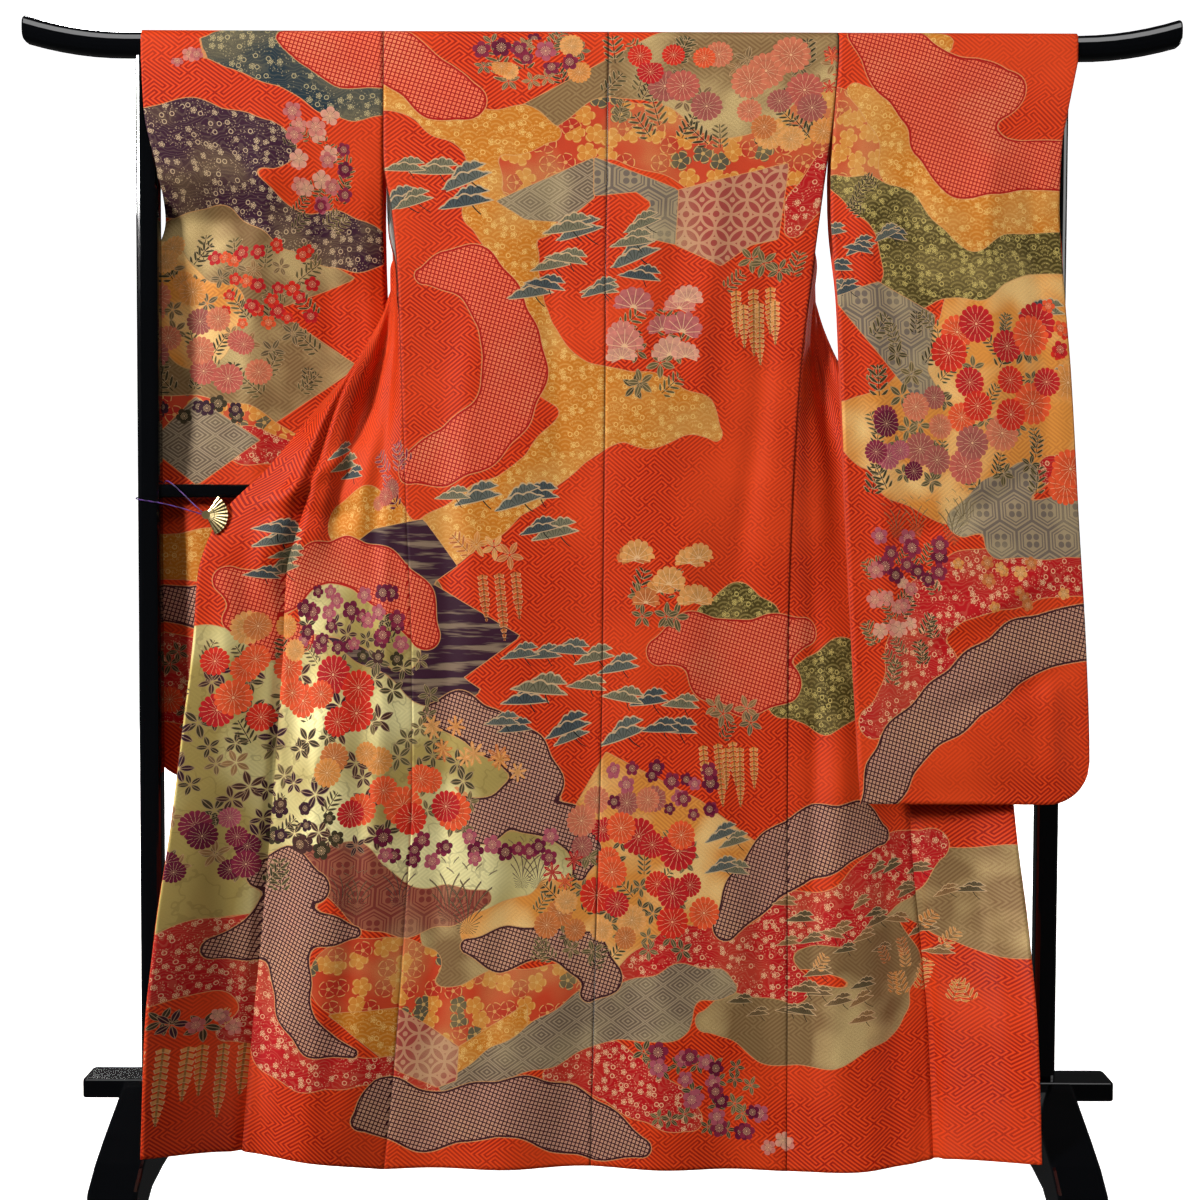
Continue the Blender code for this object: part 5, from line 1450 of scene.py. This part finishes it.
def autumn_leaves(nodes, style):
    """Five-petalled blossoms in several tones, close together."""
    x, y, cell = nodes.cells(nodes.cut(), 36.0, 0.9)
    mask, r, turn = blossom_mask(x, y, 0.55)
    one, two, _ = nodes.split(cell)
    tone = nodes.mix(style.base, (0.66, 0.24, 0.035), mask)
    tone = nodes.mix(tone, (0.10, 0.085, 0.05), mask * (one > 0.82))
    tone = nodes.mix(tone, (0.50, 0.030, 0.015), mask * (two > 0.6))
    ribs = (abs((turn * 2.5).cos()) < 0.16) * (r > 0.12)
    ribs = ribs.max(abs(r - 0.47) < 0.03).max(r < 0.1)
    return nodes.mix(tone, style.line, mask * ribs * 0.7)


def gold_leaf(nodes, style, fret):
    """Gold with painted highlights in broad patches, with the fret under it and thin cracks."""
    veins = abs(nodes.noise(nodes.cut(), 16.0, 3.0) - 0.5) < 0.010
    # Painted highlight: broad patches of the gold are lightened where light would shine on it
    highlight_patches = ((nodes.noise(nodes.cut(), 6.0, 1.0) - 0.42) * 4.5).held()
    tone = nodes.mix(nodes.mix(style.base, style.gold, highlight_patches), style.line, fret * 0.13)
    return nodes.mix(tone, (0.20, 0.13, 0.04), veins * 0.3)


def filling_group(filling):
    style = STYLES[filling]

    def make(nodes, fret, haze, flow, komon):
        """Colour of one filling."""
        u, v, _ = nodes.split(nodes.cut())
        if filling == "gold_leaf":
            return [gold_leaf(nodes, style, fret)]
        if filling == "water":
            flat = nodes.add("CombineXYZ", X=u * 9.0, Y=v * 90.0).outputs[0]
            streak = nodes.noise(flat, 1.0, 3.0, 0.6)
            return [nodes.mix(style.base, style.line, ((streak - 0.50) * 7.0).max(0.0).min(0.75))]
        if filling in ("kanoko_dark", "kanoko_red"):
            light = nodes.mix(style.line, style.gold, haze * style.haze)
            return [nodes.mix(style.base, light, kanoko(u, v) * 0.9)]
        if filling == "autumn":
            tone = autumn_leaves(nodes, style)
        elif filling in REPEATS:
            tone = nodes.mix(style.base, style.line, REPEATS[filling](u, v) * 0.75)
        elif filling in ("olive_mist", "orange_field"):
            tone = nodes.mix(style.base, style.line, fret * 0.40)
        else:
            under = waves(u, v) * 0.25 if filling in ("mustard", "olive_dark") else flow * 0.08
            tone = nodes.mix(nodes.mix(style.base, style.line, under), style.line, komon * 0.85)
        return [nodes.mix(tone, style.gold, haze * style.haze)]
    return make


SEAM_PLACES = (0.0, 206.0, 356.0)       # layout distance of the body's seams from its middle
# Half width, in layout units, of the painted shade drawn along the body's seams
SEAM_SHADE_HALF = 0.75


def new_material(name):
    """A material, the writer of its formulas and its shader."""
    material = bpy.data.materials.new(name)
    material.use_nodes = True
    return material, Nodes(material.node_tree), material.node_tree.nodes["Principled BSDF"]


def edge_drawing(nodes, colour, traits):
    """Colour and metal where several fillings meet, each with its outline."""
    metal = Value(nodes.tree, nodes.constant((0.0, 0.0, 0.0)))
    for i in range(0, len(FILLS), 3):
        packed = nodes.split(nodes.attribute(f"fill{i // 3}").outputs["Vector"])
        for distance, filling in zip(packed, FILLS[i:i + 3]):
            inside = distance < 0.0
            drawn, = nodes.shared(filling, filling_group(filling), *traits)
            colour = nodes.mix(colour, drawn, inside)
            metal = metal * (1.0 - inside) + inside * STYLES[filling].shine
            if "kanoko" in filling:
                colour = nodes.mix(colour, STYLES[filling].base, abs(distance + 0.0016) < 0.0013)
            colour = nodes.mix(colour, OUTLINE, (abs(distance - 0.0006) < 0.0006) * 0.75)
    return colour, metal


@cache
def silk(top, figured):
    """The silk of the faces that lie wholly in one filling, on the ground (-1) or on an edge (MIXED)."""
    kind = "ground" if top < 0 else "edges" if top == MIXED else FILLS[top]
    material, nodes, shader = new_material("silk_" + kind + ("_figured" if figured else ""))
    fret, = nodes.shared("fret", fret_group)
    traits = (fret, *nodes.shared("haze", haze_group), *nodes.shared("komon", komon_group))
    cut = nodes.cut()
    metal = 0.0
    if 0 <= top < MIXED:
        colour, = nodes.shared(kind, filling_group(kind), *traits)
        metal = STYLES[kind].shine
    else:
        colour = nodes.mix(GROUND, GROUND_LINE, fret)
    if top == MIXED:
        colour, metal = edge_drawing(nodes, colour, traits)
    if figured:
        grain = nodes.noise(cut, 150.0, 1.0)
        for level in range(LAYERS):
            drawn, mask = nodes.shared(f"motifs{level}", motif_group(level), grain)
            colour = nodes.mix(colour, drawn, mask)
            metal = (1.0 - mask) * metal
    weave = nodes.noise(cut, 900.0, 2.0, 0.6)
    # Broad patches of tone, a little lighter and darker at random
    blotch = nodes.noise(cut, 14.0, 3.0, 0.6)
    u, _, sleeve = nodes.split(cut)
    middle = abs(u - BODY_SEAM_X * PX)
    # Painted shade: a dark line along the body's seams, where their grooves would lie in shadow
    seam = largest([abs(middle - place * PX) < SEAM_SHADE_HALF * PX for place in SEAM_PLACES]) * (sleeve < 0.5)
    shade = ((blotch - 0.5) * 0.16 + (weave - 0.5) * 0.30 + 1.0) * (1.0 - seam * 0.6)
    feed(nodes.tree, nodes.scaled(colour, shade), shader.inputs["Base Color"])
    feed(nodes.tree, metal, shader.inputs["Metallic"])
    feed(nodes.tree, 0.56 - fret * 0.10 - metal * 0.25, shader.inputs["Roughness"])
    shader.inputs["Specular IOR Level"].default_value = 0.12
    nodes.bump(shader, weave + fret * 0.25, 0.4, 0.0006)
    return material


def plain_cloth(name, colour):
    material, nodes, shader = new_material(name)
    shade = (nodes.noise(nodes.cut(), 700.0, 2.0, 0.6) - 0.5) * 0.14 + 1.0
    feed(nodes.tree, nodes.scaled(nodes.constant(colour), shade), shader.inputs["Base Color"])
    shader.inputs["Roughness"].default_value = 0.7
    shader.inputs["Specular IOR Level"].default_value = 0.3
    return material


def solid_finish(name, colour, roughness, metallic=0.0):
    material, nodes, shader = new_material(name)
    shader.inputs["Base Color"].default_value = (*colour, 1.0)
    shader.inputs["Roughness"].default_value = roughness
    shader.inputs["Metallic"].default_value = metallic
    shader.inputs["Specular IOR Level"].default_value = 0.5
    return material, nodes, shader


LACQUER_BLACK = (0.0015, 0.0018, 0.0025)
LACQUER_ROUGHNESS = 0.09


def lacquer_finish():
    """Black lacquer, a little uneven from polishing, with faint dust."""
    made, nodes, shader = solid_finish("black_gloss_lacquer", LACQUER_BLACK, LACQUER_ROUGHNESS)
    place = nodes.place()
    polish = nodes.noise(place, 14.0, 3.0)
    dust = nodes.noise(place, 900.0, 1.0) > 0.80
    rough = (polish - 0.5) * 0.10 + LACQUER_ROUGHNESS + dust * 0.04
    feed(nodes.tree, rough.max(0.03), shader.inputs["Roughness"])
    feed(nodes.tree, nodes.mix(LACQUER_BLACK, (0.006, 0.006, 0.006), dust * 0.5), shader.inputs["Base Color"])
    nodes.bump(shader, nodes.noise(place, 7.0, 1.0), 0.08, 0.002)
    return made


CLIP_PIVOT = (-0.562, 0.992)
FAN_FROM, FAN_TO, FAN_RIBS = math.radians(-66.0), math.radians(58.0), 11


def fan_finish():
    """Gold ribs with the gaps between them painted dark as shade, and two thin dark rings, one near the rim."""
    made, nodes, shader = solid_finish("gold_fan", (0.78, 0.60, 0.28), 0.32, metallic=1.0)
    x, _, z = nodes.split(nodes.place())
    r, turn = polar(x - CLIP_PIVOT[0], z - CLIP_PIVOT[1])
    rib = ((turn - FAN_FROM) * (FAN_RIBS / (FAN_TO - FAN_FROM)) + 4.0).fract()
    # Painted shade: the gaps between the ribs are darkened
    gap = (abs(rib - 0.5) > 0.41) * (r > 0.0075)
    bands = (abs(r - 0.012) < 0.0006).max(abs(r - 0.0285) < 0.0005)
    tone = nodes.mix((0.80, 0.63, 0.31), (0.06, 0.030, 0.008), gap.max(bands * 0.7))
    feed(nodes.tree, tone, shader.inputs["Base Color"])
    feed(nodes.tree, gap * 0.35 + 0.28, shader.inputs["Roughness"])
    return made


def cord_finish():
    """Purple silk twist."""
    made, nodes, shader = solid_finish("purple_cord", (0.09, 0.025, 0.20), 0.6)
    x, y, z = nodes.split(nodes.place())
    strand = ((x + y * 0.6 + z * 1.4) * 620.0).sin()
    tone = nodes.mix((0.10, 0.028, 0.22), (0.030, 0.008, 0.075), strand > 0.2)
    feed(nodes.tree, tone, shader.inputs["Base Color"])
    return made


white_lining = plain_cloth("lining_white", (0.74, 0.71, 0.66))
red_lining = plain_cloth("lining_vermilion", (0.62, 0.05, 0.012))


# Cloth pieces

HEM_LINING_FROM = 560       # layout height below which the body's inside is vermilion
EDGE_LINING = 16            # layout width of the vermilion inside a sleeve's edges
SLEEVE_LOW = 790            # layout height of a sleeve's lower edge


def sleeve_edge(x, y):
    """Layout distance from the nearest edge of a sleeve."""
    nearest = SLEEVE_LOW - y
    for side, (start, wide) in SLEEVE_PLACES.items():
        for edge in (start, start + side * wide):
            nearest = np.minimum(nearest, np.abs(x - edge))
    return nearest


def dress(obj, node):
    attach(obj, "root")
    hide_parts(node)


def coat(obj, material):
    """Leaves an object this material alone."""
    obj.data.materials.clear()
    obj.data.materials.append(material)


for side in (LEFT, RIGHT):
    tag = SIDE_NAMES[side]
    body_points, layout = body_cloth(side)
    body = shell("body_silk_" + tag, body_points, layout, CLOTH, side, "B", white_lining,
                 red=lambda x, y: y > HEM_LINING_FROM)
    dress(body, "body_" + tag)
    grid, plan = okumi_cloth(side)
    okumi = shell("okumi_silk_" + tag, grid, plan, CLOTH, side, "B", red_lining)
    dress(okumi, "okumi_" + tag)
    grid, plan = sleeve_cloth(side)
    sleeve = shell("sleeve_silk_" + tag, grid, plan, CLOTH, -side, "S", white_lining,
                   red=lambda x, y: sleeve_edge(x, y) < EDGE_LINING)
    dress(sleeve, "sleeve_" + tag)

    first = len(body_points) - len(BODY_HEIGHTS)
    wanted = [first + i for i, height in enumerate(BODY_HEIGHTS) if LINING_LOW < height < LINING_HIGH]
    off = CLOTH / 2 + LINING_CLEAR + LINING / 2
    moved = (body_points - grid_normals(body_points) * side * off)[wanted][:, 1:-1]
    lining = shell("lining_silk_" + tag, moved, layout[wanted][:, 1:-1], LINING, side, "none", white_lining)
    coat(lining, white_lining)
    lining.data.polygons.foreach_set("material_index", np.zeros(len(lining.data.polygons), np.int32))
    dress(lining, "lining_" + tag)

grid, plan = collar_cloth()
collar = shell("collar_silk", grid, plan, COLLAR_THICK, 1, "B", silk(-1, False))
dress(collar, "collar")

COATS = {"fan_clip": fan_finish(), "clip_cord": cord_finish()}
lacquer = lacquer_finish()
for name in ("top_bar", "post_left", "post_right", "middle_rail", "base_board", "foot_left", "foot_right"):
    COATS[name] = lacquer
for name, material in COATS.items():
    coat(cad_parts[name], material)


# Studio

ROOM = 24.0
ROOM_WHITE, ROOM_GLOW = (0.85, 0.85, 0.85), 1.0


def plane(name, location, rotation=(0, 0, 0)):
    """A wall of the white room, which lights nothing and throws no shadow."""
    mesh = bpy.data.meshes.new(name)
    half = ROOM / 2
    corners = [(-half, -half, 0), (half, -half, 0), (half, half, 0), (-half, half, 0)]
    mesh.from_pydata(corners, [], [(0, 1, 2, 3)])
    obj = bpy.data.objects.new(name, mesh)
    obj.location = location
    obj.rotation_euler = rotation
    bpy.context.collection.objects.link(obj)
    finish, _, shader = solid_finish(name, ROOM_WHITE, 0.9)
    shader.inputs["Emission Color"].default_value = (1.0, 1.0, 1.0, 1.0)
    shader.inputs["Emission Strength"].default_value = ROOM_GLOW
    mesh.materials.append(finish)
    obj.visible_diffuse = obj.visible_glossy = obj.visible_shadow = False


plane("floor", (0, 0, 0))
plane("ceiling", (0, 0, ROOM / 2))
for number in range(4):
    angle = number * math.pi / 2
    place = (math.sin(angle) * ROOM / 2, math.cos(angle) * ROOM / 2, ROOM / 4)
    plane(f"backdrop_{number}", place, (math.pi / 2, 0, -angle))
bpy.context.scene.view_settings.view_transform = "Standard"
world = bpy.data.worlds.new("studio")
bpy.context.scene.world = world
world.use_nodes = True
background = world.node_tree.nodes["Background"]
background.inputs[0].default_value = (1.0, 1.0, 1.0, 1.0)
background.inputs[1].default_value = 0.03


def area_light(name, location, target, size, power, gleam_only=False):
    light = bpy.data.lights.new(name, "AREA")
    light.shape = "RECTANGLE"
    light.size, light.size_y = size
    light.energy = power
    obj = bpy.data.objects.new(name, light)
    obj.location = location
    obj.rotation_euler = (Vector(target) - Vector(location)).to_track_quat("-Z", "Y").to_euler()
    obj.visible_diffuse = not gleam_only
    bpy.context.collection.objects.link(obj)


# Name, place, what it points at, size and power
area_light("key_left", (-5.0, -4.0, 3.0), (0, 0, 1.0), (1.0, 1.4), 440)
area_light("fill_right", (4.6, -3.3, 2.0), (0, 0, 0.9), (1.6, 1.6), 46)
area_light("top", (0, -1.8, 3.2), (0, 0, 1.2), (3.0, 0.7), 22)
area_light("bar_gleam", (0, -1.3, 3.3), (0, 0, 1.68), (3.4, 1.5), 34, gleam_only=True)
area_light("rear", (-1.6, 5.4, 3.0), (0, 0, 0.9), (2.4, 1.6), 330)
area_light("side_right", (5.4, 3.2, 2.2), (0, 0, 0.9), (1.4, 1.8), 90)

# The camera's place, tilt and lens, which give the photograph's framing
CAMERA_PLACE = (0.0, -2.85, 1.0)
CAMERA_PITCH, CAMERA_ROLL = math.radians(2.6), math.radians(0.22)
SENSOR = 36.0
FOCAL_PIXELS, PHOTO_PIXELS = 1967.0, 1200.0

camera_data = bpy.data.cameras.new("camera")
camera_data.sensor_width = SENSOR
camera_data.lens = SENSOR * FOCAL_PIXELS / PHOTO_PIXELS
camera = bpy.data.objects.new("camera", camera_data)
bpy.context.collection.objects.link(camera)
forward = Vector((0.0, math.cos(CAMERA_PITCH), -math.sin(CAMERA_PITCH)))
across = Vector((1.0, 0.0, 0.0))
up = across.cross(forward)
right_axis = across * math.cos(CAMERA_ROLL) + up * math.sin(CAMERA_ROLL)
up_axis = up * math.cos(CAMERA_ROLL) - across * math.sin(CAMERA_ROLL)
turn = Matrix((right_axis, up_axis, -forward)).transposed().to_4x4()
camera.matrix_world = Matrix.Translation(CAMERA_PLACE) @ turn
bpy.context.scene.camera = camera
